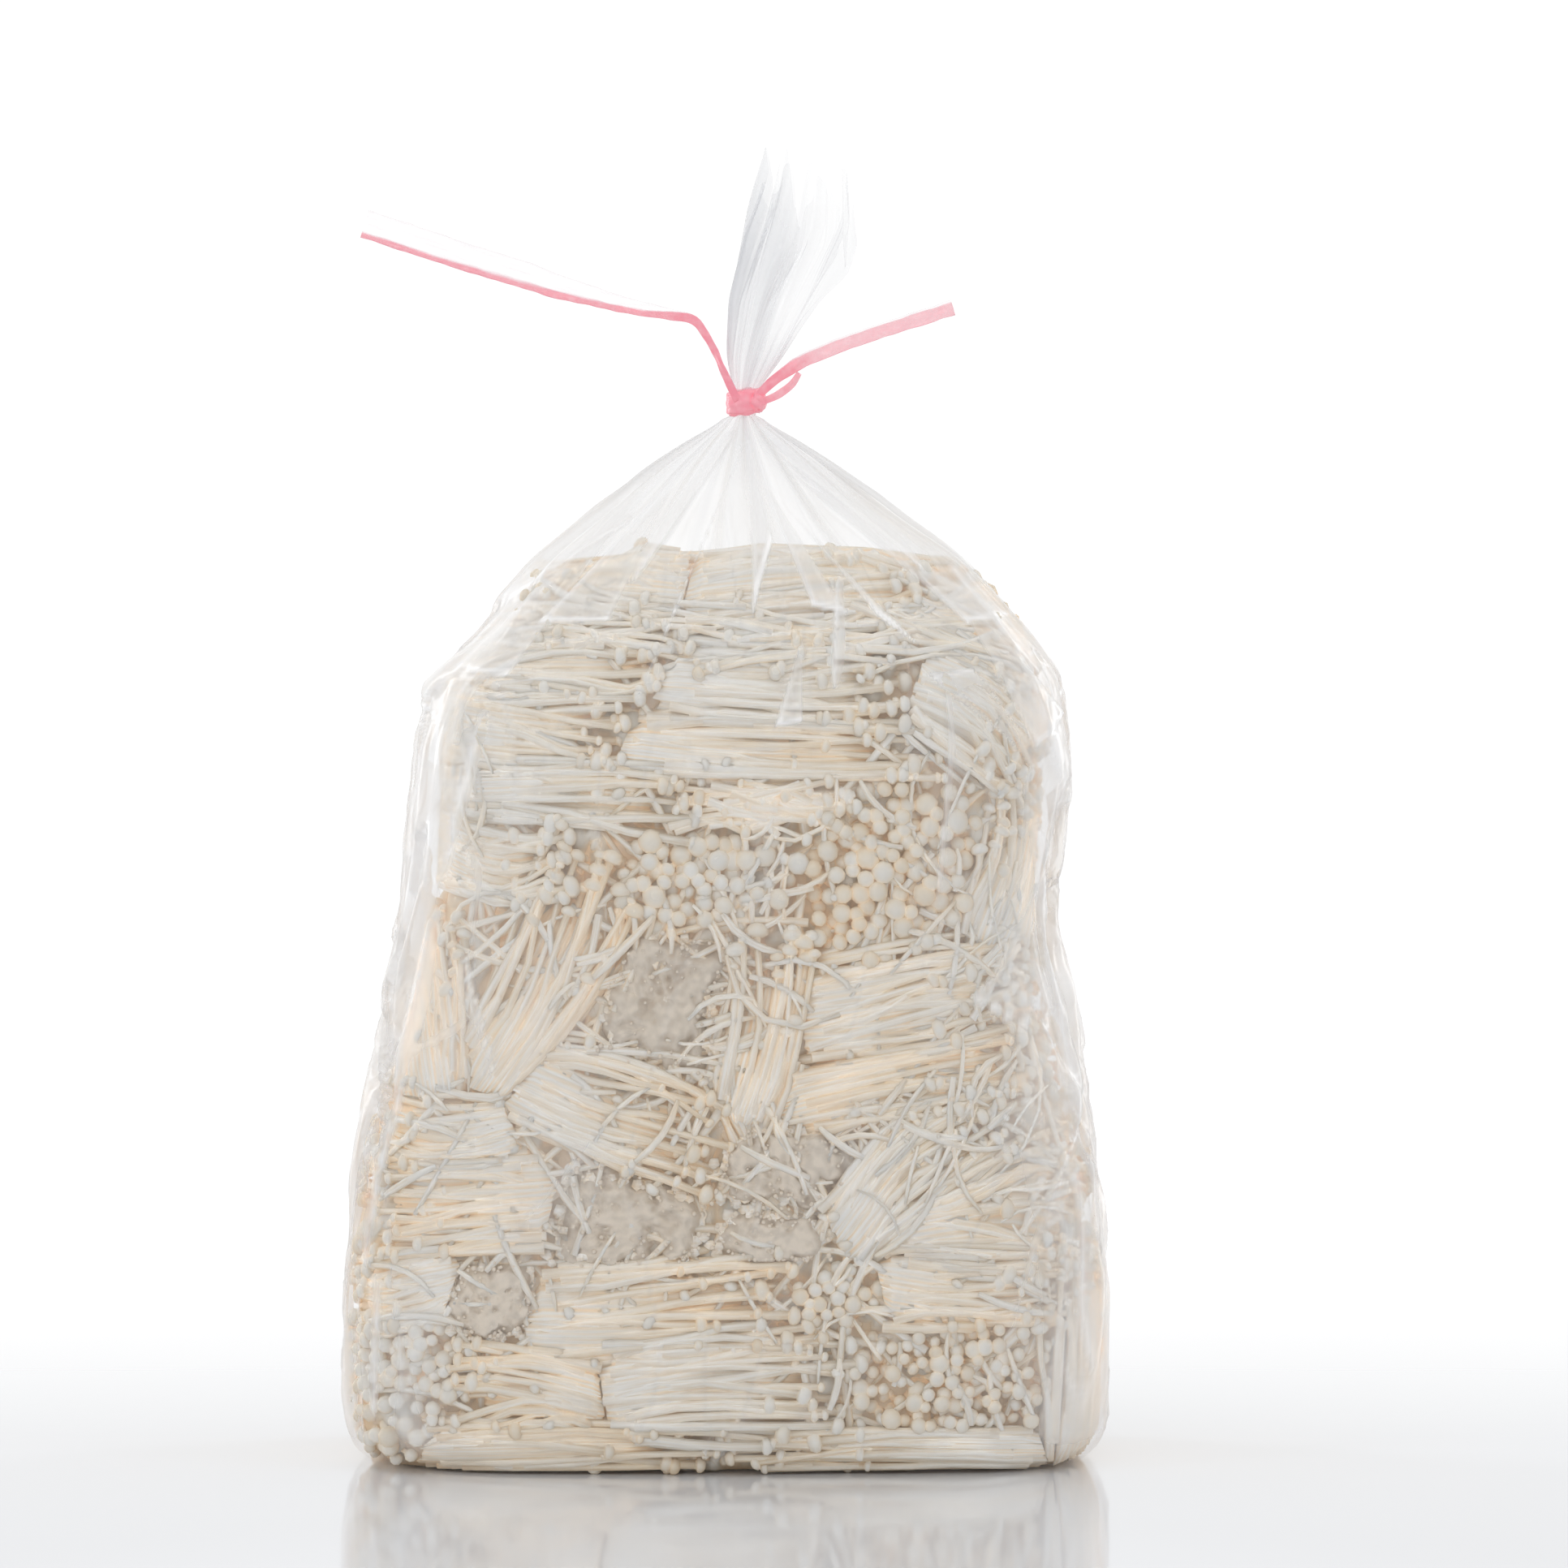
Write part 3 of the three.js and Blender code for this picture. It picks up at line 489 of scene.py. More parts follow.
def mushrooms(paths, stem, cap, sides, random, cap_sides=8):
    """Stems that end in buttons, whose rings widen from the underside to the rim and close over the top.

    Cap ring k is at tip + a_k R t with radius b_k R, for the pairs a, b in CAP_RINGS. Caps tilt a little.
    """
    count, rings = paths.shape[:2]
    share = np.linspace(0, 1, rings)
    swell = np.interp(share, [0, 0.25, 0.8, 1], [1.3, 1.1, 0.85, 0.95])
    verts, faces, grain = tubes(paths, stem[:, None] * swell[None], sides)
    tone_and_shade = random.uniform(0.35, 0.85, count)
    shape = (count, rings, sides)
    stems = flesh_part(verts, faces, np.broadcast_to(tone_and_shade[:, None, None], shape),
                       np.broadcast_to((share * 0.8)[None, :, None], shape), grain)
    aim = unit(unit(paths[:, -1] - paths[:, -2]) + random.normal(0, 0.16, (count, 3)))
    axis = paths[:, -1][:, None] + CAP_RINGS[None, :, 0, None] * cap[:, None, None] * aim[:, None]
    verts, faces, grain = tubes(axis, cap[:, None] * CAP_RINGS[None, :, 1], cap_sides)
    shape = (count, len(CAP_RINGS), cap_sides)
    under = np.interp(CAP_RINGS[:, 0], [-0.34, -0.1, 0.2], [0.84, 0.93, 1.0])
    caps = flesh_part(verts, faces, np.broadcast_to(tone_and_shade[:, None, None], shape),
                      np.broadcast_to(under[None, :, None], shape), grain * 0)
    return [stems, caps]


def strands(paths, stem, sides, random, flat=1.0, share=(0.0, 0.8)):
    """Broken stems without caps: tubes that thin to blunt ends. share is the part of the stem they are."""
    count, rings = paths.shape[:2]
    swell = np.interp(np.linspace(0, 1, rings), [0, 0.08, 0.92, 1], [0.75, 1, 1, 0.6])
    verts, faces, grain = tubes(paths, stem[:, None] * swell[None], sides, flat)
    shape = (count, rings, sides)
    tone_and_shade = np.broadcast_to(random.uniform(0.5, 1, count)[:, None, None], shape)
    along = np.broadcast_to(np.linspace(*share, rings)[None, :, None], shape)
    return flesh_part(verts, faces, tone_and_shade, along, grain)


def disc(count):
    """Even spots over a disc, on a sunflower's spiral."""
    k = np.arange(count)
    out, angle = np.sqrt((k + 0.5) / count), k * np.pi * (3 - np.sqrt(5))
    return out * np.cos(angle), out * np.sin(angle)


def core_of(bed, seed):
    """The block of fused stems: its cut face as rings that shrink to a point, then a section carried along.

    Every other column is drawn in by its own amount, which marks the stems, and the cut edge is ragged.
    A pad's cut face is raised by three sizes of noise and has pits.
    """
    columns, face_rows = {"lies": (104, 5), "caps": (104, 2), "pad": (96, 26)}[bed.kind]
    size, top = (1.0, 0.9) if bed.kind == "lies" else (0.98, 0.91)
    random = rng(seed + 17)
    inward = np.linspace(0.04, 1, face_rows, endpoint=False)
    share = np.linspace(0, 1, 10) ** 1.2
    out = np.concatenate([inward, np.ones(len(share))])[:, None]
    t = np.concatenate([np.zeros(face_rows), share])[:, None]
    angle = (np.arange(columns) * 2 * np.pi / columns)[None]
    c, s = np.cos(angle), np.sin(angle)
    square = (np.abs(c) ** 4 + np.abs(s) ** 4) ** -0.25 if bed.kind == "lies" else np.ones_like(c)
    alternate = random.uniform(0.2, 1, columns) * (np.arange(columns) % 2)
    groove = (0.035 + 0.03 * smoothstep(0.1, 0.5, t)) * alternate[None] * out
    taper = np.sqrt(1 - np.clip((t - 0.75) / 0.26, 0, 1) ** 2)
    taper = taper * np.interp(t, [0, 0.05, 0.25, 0.5], [0.96, 1, 1, 0.93])
    if bed.kind == "pad":
        taper = taper * (0.94 + 0.08 * waves(np.stack([c * 30, s * 30], axis=-1), 30, seed + 5))
    spread = size * out * square * (1 - groove) * taper
    p = bed.at(np.broadcast_to(t * top, spread.shape), spread * c, spread * s)
    p = p + 0.5 * MM * waves(p, 9 * MM, seed)[..., None] * np.array([0, 1, 0])
    if bed.kind == "lies":
        ragged = -1.2 + 1.1 * waves(np.stack(np.broadcast_arrays(c * 30, s * 30), axis=-1), 9.0, seed + 9)
        ragged = ragged + random.uniform(-1.1, 1.1, columns)[None]
        comb = (ragged * (t < 0.02) * out**3 * MM)[..., None] / np.linalg.norm(bed.run)
        p[..., ::2] += comb * bed.run
    elif bed.kind == "pad":
        lumps = sum(high * waves(p, scale * MM, seed + k) for k, (high, scale) in enumerate(
            ((1.5, 13), (0.75, 5), (0.35, 2.2))))
        pits = -1.4 * np.clip(waves(p, 4 * MM, seed + 3) - 0.7, 0, 1)
        p[..., 1] += bed.side * (lumps + pits - 5.0 * out**5) * MM * (t < 0.02)
    p = squeezed(p, 0.1 * MM, bed.lines, bed.side)
    rows = len(t)
    faces = [grid_faces(rows, columns, True), np.arange(columns)[::-1][None],
             (np.arange(columns) + (rows - 1) * columns)[None]]
    arc = np.abs(np.arange(columns) / columns - 0.5) * 2 * np.pi * bed.sizes()[0] * 2 / MM
    # Painted shade: a pad's sides are darker than its cut face, which varies at random; a core is darker
    # toward its cap end, under the stems, and darker still in its drawn-in columns between the stems.
    if bed.kind == "pad":
        tone_and_shade = 0.5 + 0.3 * waves(p, 3 * MM, seed + 4) * (t < 0.02) - 0.6 * (t > 0.02)
    else:
        tone_and_shade = np.interp(t, [0, 0.2, 0.5, 0.9], [0.9, 0.8, 0.6, 0.3]) - 1.3 * alternate[None]
    grain = np.stack(np.broadcast_arrays(arc[None] * 0.7, t * top * 60), axis=-1)
    along = np.broadcast_to(t * 0.4, spread.shape)
    return flesh_part(p, faces, tone_and_shade, along, grain, seed * 0.37), (face_rows - 1) * columns


def crumbs_of(bed, seed, count):
    """Crumbs and pinheads that stand on a spongy base: small six-sided beads of four rings each."""
    random = rng(seed)
    out, a = np.sqrt(random.uniform(0, 1, count)), random.uniform(0, 2 * np.pi, count)
    at = bed.at(random.uniform(-0.02, 0.02, count), out * np.cos(a), out * np.sin(a))
    size = random.uniform(0.3, 0.9, count) * MM
    aim = unit(np.array([0, bed.side, 0]) + random.normal(0, 0.8, (count, 3)))
    at = squeezed(at, 0.8 * MM, bed.lines, bed.side)
    rings = np.array([(-0.8, 0.5), (-0.2, 0.95), (0.5, 0.85), (0.95, 0.3)])
    paths = at[:, None] + rings[None, :, 0, None] * size[:, None, None] * aim[:, None]
    verts, faces, grain = tubes(paths, size[:, None] * rings[None, :, 1], 6)
    tone_and_shade = np.broadcast_to(random.uniform(0.6, 1.4, count)[:, None], (count, 24))
    return flesh_part(verts, faces, tone_and_shade, np.zeros(tone_and_shade.shape), grain)


def sprouts_of(bed, random, pitch):
    """Where each mushroom of a bunch starts, ends and stands: begin, end, u, v."""
    if bed.kind == "lies":
        half, deep = bed.sizes()
        rows = []
        for layer in range(2):
            n = max(5, int(2 * half / pitch))
            u = np.linspace(-1, 1, n) + random.normal(0, 0.7 / n, n)
            rows.append((u, 1 - (0.8 * layer + random.uniform(-0.2, 0.5, n)) * pitch / deep))
        n = max(4, int(deep / pitch))
        for edge in (-1.0, 1.0):
            rows.append((np.full(n, edge), np.linspace(-0.2, 0.9, n)))
        n = 12
        rows.append((random.uniform(-0.95, 0.95, n), 1 - random.uniform(1.8, 3, n) * pitch / deep))
        u, v = (np.concatenate([r[k] for r in rows]) for k in (0, 1))
        count = len(u)
        end = 1 - np.where(random.uniform(0, 1, count) < 0.6, random.uniform(0, 0.22, count),
                           random.uniform(0.12, 0.5, count))
        return random.uniform(0.0, 0.14, count), end, u, v
    if bed.kind == "caps":
        area = np.mean(bed.right**2)
        top = int(2.2 * area / (2.4 * MM) ** 2)
        under = int(0.6 * top)
        u, v = (np.concatenate(pair) for pair in zip(disc(top), disc(under)))
        count = top + under
        u, v = u + random.normal(0, 0.02, count), v + random.normal(0, 0.02, count)
        low = np.concatenate([np.zeros(top), np.full(under, 0.07)])
        end = 1 - random.uniform(0.0, 0.09, count) - low - 0.05 * (u * u + v * v) ** 2
        return np.full(count, 0.7), end, u * 0.98, v * 0.98
    count = 60
    a = random.uniform(0, 2 * np.pi, count)
    out = random.uniform(0.6, 1, count)
    return np.full(count, 0.04), random.uniform(0.1, 0.6, count), out * np.cos(a), out * np.sin(a)


def spaced(tips, cap, least):
    """Which caps to keep: each one is at least a share of the two radii away from those kept before it."""
    kept = []
    for k, tip in enumerate(tips):
        if not kept or (np.linalg.norm(tips[kept] - tip, axis=1) > least * (cap[kept] + cap[k])).all():
            kept.append(k)
    return kept


def bunch_parts(plans, index, side, seed):
    """One bunch as a list of parts, the first of which is its core, and how many of its faces are spongy."""
    settings = bpy.context.scene.enoki_bunch
    random = rng(seed)
    bed = Bed(plans, index, side)
    core, spongy = core_of(bed, seed)
    parts = [core]
    if bed.kind == "pad":
        parts.append(crumbs_of(bed, seed + 6, 100))
    begin, end, u, v = sprouts_of(bed, random, settings.pitch * (1 if side < 0 else 1.3))
    count, rings = len(u), 5 if bed.kind == "lies" else 4
    share = np.linspace(0, 1, rings)[None]
    t = begin[:, None] + (end - begin)[:, None] * share
    if bed.kind == "lies":
        splay = random.normal(0, 0.18, count)[:, None] * (t - 0.2)
        splay = splay + random.normal(0, 0.12) * np.sin(np.pi * t)
        u = np.clip(u[:, None] + splay, -1.12, 1.12)
        buried = 0.055 * (1 - smoothstep(0, 0.25, share))
        v = v[:, None] + random.normal(0, 0.04, count)[:, None] * t - buried
    else:
        tilt = random.normal(0, 0.12, 2)
        u, v = u[:, None] + tilt[0] * (share - 1), v[:, None] + tilt[1] * (share - 1)
    p = bed.at(t, u + 0 * t, v + 0 * t)
    sway = random.normal(0, 1, (count, 3)) * (0.6 if bed.kind == "caps" else 1.7) * MM
    wave = random.normal(0, 0.8 if bed.kind == "caps" else 1.4, (count, 3)) * MM
    p = p + sway[:, None] * (share**1.6)[..., None] + wave[:, None] * np.sin(np.pi * share * 1.5)[..., None]
    sizes = random.choice([0.52, 0.7, 0.88, 1.08], count, p=[0.2, 0.32, 0.32, 0.16])
    if bed.kind == "caps":
        sizes = np.clip(sizes, 0.7, 1.05) * (1.2 if bed.start[1] > 150 * MM else 0.95)
    cap = settings.cap_radius * sizes * random.uniform(0.9, 1.12, count)
    stem = settings.stem_radius * (0.62 + 0.42 * sizes) * random.uniform(0.8, 1.2, count)
    clear = np.where(share > 0.85, 0.6 * cap[:, None], stem[:, None])
    lap = random.uniform(0, 1, count)[:, None] ** 1.7 * 9 * MM
    p = squeezed(p, clear, bed.lines, side, lap)
    kept = spaced(p[:, -1], cap, CLOSEST[bed.kind])
    sides, cap_sides = (4, 9) if bed.kind == "caps" else (5, 8) if side < 0 else (4, 6)
    parts += mushrooms(p[kept], stem[kept], cap[kept], sides, random, cap_sides)
    if bed.kind != "pad":
        # A shift of tone_and_shade for each bunch: random, and darker toward the bottom of the bag.
        bunch_shift = random.uniform(-0.25, 0.1) - 0.2 * (1 - bed.start[1] / FILL_TOP)
        parts = [deep_shaded(part, side) for part in parts]
        for _, _, values in parts:
            values["tone_and_shade"] = values["tone_and_shade"] + bunch_shift
    return parts, spongy


# ---- Materials ----

def material(name):
    """A new material and its shader, output and a maker of linked nodes."""
    mat = bpy.data.materials.new(name)
    mat.use_nodes = True
    tree = mat.node_tree
    shader = tree.nodes["Principled BSDF"]

    def add(kind, inputs=None, **settings):
        node = tree.nodes.new(kind)
        for key, value in settings.items():
            setattr(node, key, value)
        for key, value in (inputs or {}).items():
            if isinstance(value, bpy.types.NodeSocket):
                tree.links.new(value, node.inputs[key])
            else:
                node.inputs[key].default_value = value
        return node

    return mat, tree, shader, add


def ramp(node, stops):
    """Sets a colour ramp's stops from pairs of place and colour."""
    bar = node.color_ramp
    while len(bar.elements) > 1:
        bar.elements.remove(bar.elements[-1])
    bar.elements[0].position, bar.elements[0].color = stops[0][0], (*stops[0][1], 1)
    for place, color in stops[1:]:
        bar.elements.new(place).color = (*color, 1)


def flesh_material():
    """Moist mushroom flesh: white fused bases, warmer stems and pale caps, with fibres along each stem.

    Painted shade from tone_and_shade turns the colour toward the painted shade colour, and the shaded hollows
    have a painted glow, an emission that stands in for the light that reaches them through the flesh.
    """
    s = bpy.context.scene.enoki_bunch
    mat, tree, shader, add = material("enoki_flesh")
    along = add("ShaderNodeAttribute", attribute_name="along")
    tone_and_shade = add("ShaderNodeAttribute", attribute_name="tone_and_shade")
    grain = add("ShaderNodeAttribute", attribute_name="grain")
    tint = add("ShaderNodeValToRGB", {"Fac": along.outputs["Fac"]})
    warm = tuple(c * f for c, f in zip(s.stem_color, (1.0, 0.97, 0.92)))
    gills = tuple(c * 0.9 for c in warm)
    ramp(tint, [(0.0, s.base_color), (0.3, s.stem_color), (0.74, warm), (0.84, gills), (0.92, s.cap_color),
                (1.0, s.cap_color)])
    place = add("ShaderNodeTexCoord").outputs["Object"]
    cloud = add("ShaderNodeTexNoise", {"Vector": place, "Scale": 260.0, "Detail": 3.0})
    drawn = add("ShaderNodeMapping", {"Vector": grain.outputs["Vector"], "Scale": (1.15, 0.07, 1.0)})
    fibre = add("ShaderNodeTexNoise", {"Vector": drawn.outputs[0], "Scale": 1.0, "Detail": 2.0})
    soft = add("ShaderNodeMath", {0: cloud.outputs["Fac"], 1: 0.3}, operation="MULTIPLY")
    mixed = add("ShaderNodeMath", {0: tone_and_shade.outputs["Fac"], 1: soft.outputs[0]}, operation="ADD")
    level = add("ShaderNodeMapRange", {"Value": mixed.outputs[0], 1: -0.65, 2: 1.25, 3: 0.0, 4: 1.0})
    # Painted shade: low levels of tone_and_shade turn the colour toward the painted shade colour.
    shade = add("ShaderNodeValToRGB", {"Fac": level.outputs[0]})
    ramp(shade, [(0.0, s.painted_shade_color), (0.42, (0.985, 0.892, 0.76)), (0.78, (1.0, 1.0, 1.0))])
    streak = add("ShaderNodeValToRGB", {"Fac": fibre.outputs["Fac"]})
    ramp(streak, [(0.38, (0.93, 0.88, 0.81)), (0.5, (0.985, 0.975, 0.96)), (0.62, (1.0, 1.0, 1.0))])
    tinted = add("ShaderNodeVectorMath", {0: tint.outputs["Color"], 1: shade.outputs["Color"]},
                 operation="MULTIPLY")
    final = add("ShaderNodeVectorMath", {0: tinted.outputs[0], 1: streak.outputs["Color"]},
                operation="MULTIPLY")
    bump = add("ShaderNodeBump", {"Height": fibre.outputs["Fac"], "Strength": 0.7, "Distance": 0.0004})
    height = add("ShaderNodeSeparateXYZ", {0: place})
    # Painted glow: an emission in the shaded hollows, fading out toward the floor.
    above = add("ShaderNodeMapRange", {"Value": height.outputs["Z"], 1: 0.0, 2: 0.03, 3: 0.0, 4: 0.07})
    glow = add("ShaderNodeMapRange", {"Value": level.outputs[0], 1: 0.0, 2: 0.7, 3: above.outputs[0], 4: 0.0})
    tree.links.new(final.outputs[0], shader.inputs["Base Color"])
    tree.links.new(bump.outputs[0], shader.inputs["Normal"])
    tree.links.new(glow.outputs[0], shader.inputs["Emission Strength"])
    shader.inputs["Emission Color"].default_value = (1.0, 0.86, 0.7, 1)
    shader.inputs["Roughness"].default_value = 0.45
    shader.subsurface_method = "BURLEY"
    shader.inputs["Subsurface Weight"].default_value = 0.7
    shader.inputs["Subsurface Radius"].default_value = (1.0, 0.92, 0.85)
    shader.inputs["Subsurface Scale"].default_value = 0.0025
    return mat


def sponge_material():
    """The spongy pad: greyish crumb with darker pits and pale threads, and painted shade from tone_and_shade
    where it turns away from the film.
    """
    s = bpy.context.scene.enoki_bunch
    mat, tree, shader, add = material("enoki_sponge")
    tone_and_shade = add("ShaderNodeAttribute", attribute_name="tone_and_shade")
    place = add("ShaderNodeTexCoord").outputs["Object"]
    cell = add("ShaderNodeTexVoronoi", {"Vector": place, "Scale": 420.0}, feature="F1")
    cloud = add("ShaderNodeTexNoise", {"Vector": place, "Scale": 300.0, "Detail": 6.0, "Roughness": 0.7})
    # tone_and_shade holds random tone and painted shade.
    mixed = add("ShaderNodeMath", {0: tone_and_shade.outputs["Fac"], 1: cloud.outputs["Fac"]}, operation="ADD")
    half = add("ShaderNodeMath", {0: mixed.outputs[0], 1: 0.5}, operation="MULTIPLY")
    tint = add("ShaderNodeValToRGB", {"Fac": half.outputs[0]})
    dark = tuple(c * f for c, f in zip(s.pad_color, (0.91, 0.87, 0.83)))
    pale = tuple(min(1, c * 1.2) for c in s.pad_color)
    ramp(tint, [(0.2, dark), (0.42, s.pad_color), (0.68, pale)])
    high = add("ShaderNodeMath", {0: cloud.outputs["Fac"], 1: cell.outputs["Distance"]}, operation="SUBTRACT")
    bump = add("ShaderNodeBump", {"Height": high.outputs[0], "Strength": 0.4, "Distance": 0.0006})
    tree.links.new(tint.outputs["Color"], shader.inputs["Base Color"])
    tree.links.new(bump.outputs[0], shader.inputs["Normal"])
    shader.inputs["Roughness"].default_value = 0.7
    return mat


def film_material():
    """Thin clear film: nearly unseen face on, hazier at edges and gathers, and more opaque along its creases,
    with a painted highlight there.

    It thins out near the floor, and its creases have a painted glow, an emission that stands in for the light
    that comes through the bag.
    """
    s = bpy.context.scene.enoki_film
    mat, tree, shader, add = material("clear_film")
    facing = add("ShaderNodeLayerWeight", {"Blend": 0.3})
    crease = add("ShaderNodeAttribute", attribute_name="crease")
    gather = add("ShaderNodeAttribute", attribute_name="gather")
    around = add("ShaderNodeAttribute", attribute_name="around")
    place = add("ShaderNodeTexCoord").outputs["Object"]
    edge = add("ShaderNodeMapRange", {"Value": facing.outputs["Facing"], 1: 0.35, 2: 1.0, 3: s.haze, 4: 0.3})
    streak = add("ShaderNodeTexNoise", {"Vector": around.outputs["Vector"], "Scale": 3.4, "Detail": 2.0})
    lines = add("ShaderNodeMapRange", {"Value": streak.outputs["Fac"], 1: 0.38, 2: 0.66, 3: 0.25, 4: 1.0})
    pulled = add("ShaderNodeMath", {0: lines.outputs[0], 1: gather.outputs["Fac"]}, operation="MULTIPLY")
    stretch = add("ShaderNodeMapping", {"Vector": place, "Scale": (26.0, 26.0, 9.0)})
    cloud = add("ShaderNodeTexNoise", {"Vector": stretch.outputs[0], "Scale": 1.0, "Detail": 5.0})
    patch = add("ShaderNodeMapRange", {"Value": cloud.outputs["Fac"], 1: 0.5, 2: 0.72, 3: 0.0, 4: 0.12})
    some = add("ShaderNodeMath", {0: edge.outputs[0], 1: patch.outputs[0]}, operation="ADD")
    more = add("ShaderNodeMath", {0: some.outputs[0], 1: pulled.outputs[0]}, operation="ADD")
    line = add("ShaderNodeMath", {0: crease.outputs["Fac"], 1: 0.8, 2: more.outputs[0]},
               operation="MULTIPLY_ADD")
    line.use_clamp = True
    height = add("ShaderNodeSeparateXYZ", {0: place})
    above = add("ShaderNodeMapRange", {"Value": height.outputs["Z"], 1: 0.0, 2: 0.006, 3: 0.15, 4: 1.0})
    cover = add("ShaderNodeMath", {0: line.outputs[0], 1: above.outputs[0]}, operation="MULTIPLY")
    # Painted highlight: the creases are whiter, and glow a little.
    tint = add("ShaderNodeValToRGB", {"Fac": crease.outputs["Fac"]})
    ramp(tint, [(0.1, s.film_color), (0.45, (0.91, 0.92, 0.94)), (0.9, (1.0, 1.0, 1.0))])
    lit = add("ShaderNodeMath", {0: crease.outputs["Fac"], 1: 0.17}, operation="MULTIPLY")
    tree.links.new(tint.outputs["Color"], shader.inputs["Base Color"])
    tree.links.new(cover.outputs[0], shader.inputs["Alpha"])
    tree.links.new(lit.outputs[0], shader.inputs["Emission Strength"])
    shader.inputs["Emission Color"].default_value = (0.95, 0.97, 1.0, 1)
    shader.inputs["Roughness"].default_value = 0.18
    shader.inputs["IOR"].default_value = 1.55
    return mat


def tape_material():
    """Translucent tape with a coloured stripe. stripe is 1 where it is coloured, and cover is its alpha.

    It has a painted glow, an emission that stands in for the light that comes through it.
    """
    s = bpy.context.scene.enoki_film
    mat, tree, shader, add = material("striped_tape")
    stripe = add("ShaderNodeAttribute", attribute_name="stripe")
    cover = add("ShaderNodeAttribute", attribute_name="cover")
    place = add("ShaderNodeTexCoord").outputs["Object"]
    cloud = add("ShaderNodeTexNoise", {"Vector": place, "Scale": 420.0, "Detail": 3.0})
    tint = add("ShaderNodeValToRGB", {"Fac": cloud.outputs["Fac"]})
    pale = tuple(1 - (1 - c) * 0.78 for c in s.stripe_color)
    ramp(tint, [(0.35, s.stripe_color), (0.75, pale)])
    mix = add("ShaderNodeMix", {"Factor": stripe.outputs["Fac"]}, data_type="RGBA")
    tree.links.new(tint.outputs["Color"], mix.inputs[7])
    mix.inputs[6].default_value = (0.86, 0.88, 0.92, 1)
    tree.links.new(mix.outputs[2], shader.inputs["Base Color"])
    tree.links.new(cover.outputs["Fac"], shader.inputs["Alpha"])
    shader.inputs["Roughness"].default_value = 0.22
    # Painted glow, for the light that comes through the tape.
    shader.inputs["Emission Color"].default_value = (1.0, 0.42, 0.52, 1)
    shader.inputs["Emission Strength"].default_value = 0.2
    return mat


def shared(name, make):
    """A material by name, made the first time it is asked for."""
    return bpy.data.materials.get(name) or make()


# ---- Film ----

def film_rows():
    """Heights of the film's rows: close together where it turns or gathers."""
    return np.concatenate([
        np.linspace(0, 14, 10, endpoint=False), np.linspace(14, 215, 78, endpoint=False),
        np.linspace(215, 323, 96, endpoint=False), np.linspace(323, 331, 5, endpoint=False),
        np.linspace(331, 398, 28),
    ]) * MM


def ridges(points, ends, widths, steep=0.28):
    """How much each point stands on each straight fold: 1 - distance / width, from 0 to 1.

    ends holds the two ends of each fold. A fold is steep on one side, slopes off on the other, widens as
    0.45 + 0.55 t toward its second end, and comes to a point over its last 30%. The result has one value
    for each point and fold.
    """
    start, run = ends[:, 0], ends[:, 1] - ends[:, 0]
    offset = points[..., None, :] - start
    t = np.clip((offset * run).sum(-1) / (run**2).sum(-1), 0, 1)
    away = np.linalg.norm(offset - t[..., None] * run, axis=-1)
    beside = offset[..., 0] * run[:, 1] - offset[..., 1] * run[:, 0]
    reach = widths * np.where(beside * (np.arange(len(ends)) % 2 - 0.5) > 0, 1, steep) * (0.45 + 0.55 * t)
    reach = reach * np.sqrt(np.clip((1 - t) / 0.3, 1e-6, 1))
    return np.clip(1 - away / reach, 0, 1)


def sheets(points, corners):
    """How much each point stands on each folded sheet, and its painted highlight there: two arrays from 0 to
    1.

    A sheet is a triangle. inward is each point's distance from each of its sides. The sheet rises evenly
    from its last side to its first one, fades toward the upper corner, and has a painted highlight in a
    narrow line inside each side, most of all the low one.
    """
    runs = np.roll(corners, -1, axis=1) - corners
    offset = points[..., None, None, :] - corners
    doubled = runs[:, 0, 0] * -runs[:, 2, 1] + runs[:, 0, 1] * runs[:, 2, 0]
    inward = (runs[..., 0] * offset[..., 1] - runs[..., 1] * offset[..., 0]) * np.sign(doubled)[:, None]
    inward = inward / np.linalg.norm(runs, axis=-1)
    inside = smoothstep(-0.5 * MM, 0.7 * MM, inward.min(axis=-1))
    line = smoothstep(2.3 * MM, 0.8 * MM, inward)
    down = np.clip(1 - inward[..., 1] * np.linalg.norm(runs[:, 1], axis=-1) / np.abs(doubled), 0, 1)
    bright = 0.6 * line[..., 1] + 0.4 * down * (line[..., 0] + 0.4 * line[..., 2])
    bright = inside * (0.15 + 0.25 * down**2 + bright)
    across = np.clip(inward[..., 2] / np.maximum(inward[..., 2] + inward[..., 0], 1e-6), 0, 1)
    return inside * down * across, np.clip(bright, 0, 1)


def slack_folds(random):
    """Folds of the slack film as straight lines in way round and height: two ends, width and push.

    The first 80 are long ones beside the bunches, and the rest are slight ones anywhere.
    """
    count = 110
    beside = np.arange(count) < 80
    middle = np.where(random.uniform(0, 1, count) < 0.5, 0, GIRTH / 2)
    x = np.where(beside, middle + random.normal(0, 38 * MM, count), random.uniform(0, GIRTH, count))
    z = random.uniform(18, 255, count) * MM
    heading = random.normal(0, np.where(beside, 0.28, 0.6), count)
    half = np.where(beside, random.uniform(12, 46, count), random.uniform(8, 24, count)) * MM
    reach = np.stack([np.sin(heading) * half, np.cos(heading) * half], axis=-1)
    spot = np.stack([x, z], axis=-1)
    push = np.where(beside, random.uniform(-0.62, 0.08, count) * slack_at(z),
                    random.uniform(-0.8, 0.3, count) * MM)
    return np.stack([spot - reach, spot + reach], axis=1), random.uniform(8, 24, count) * MM, push


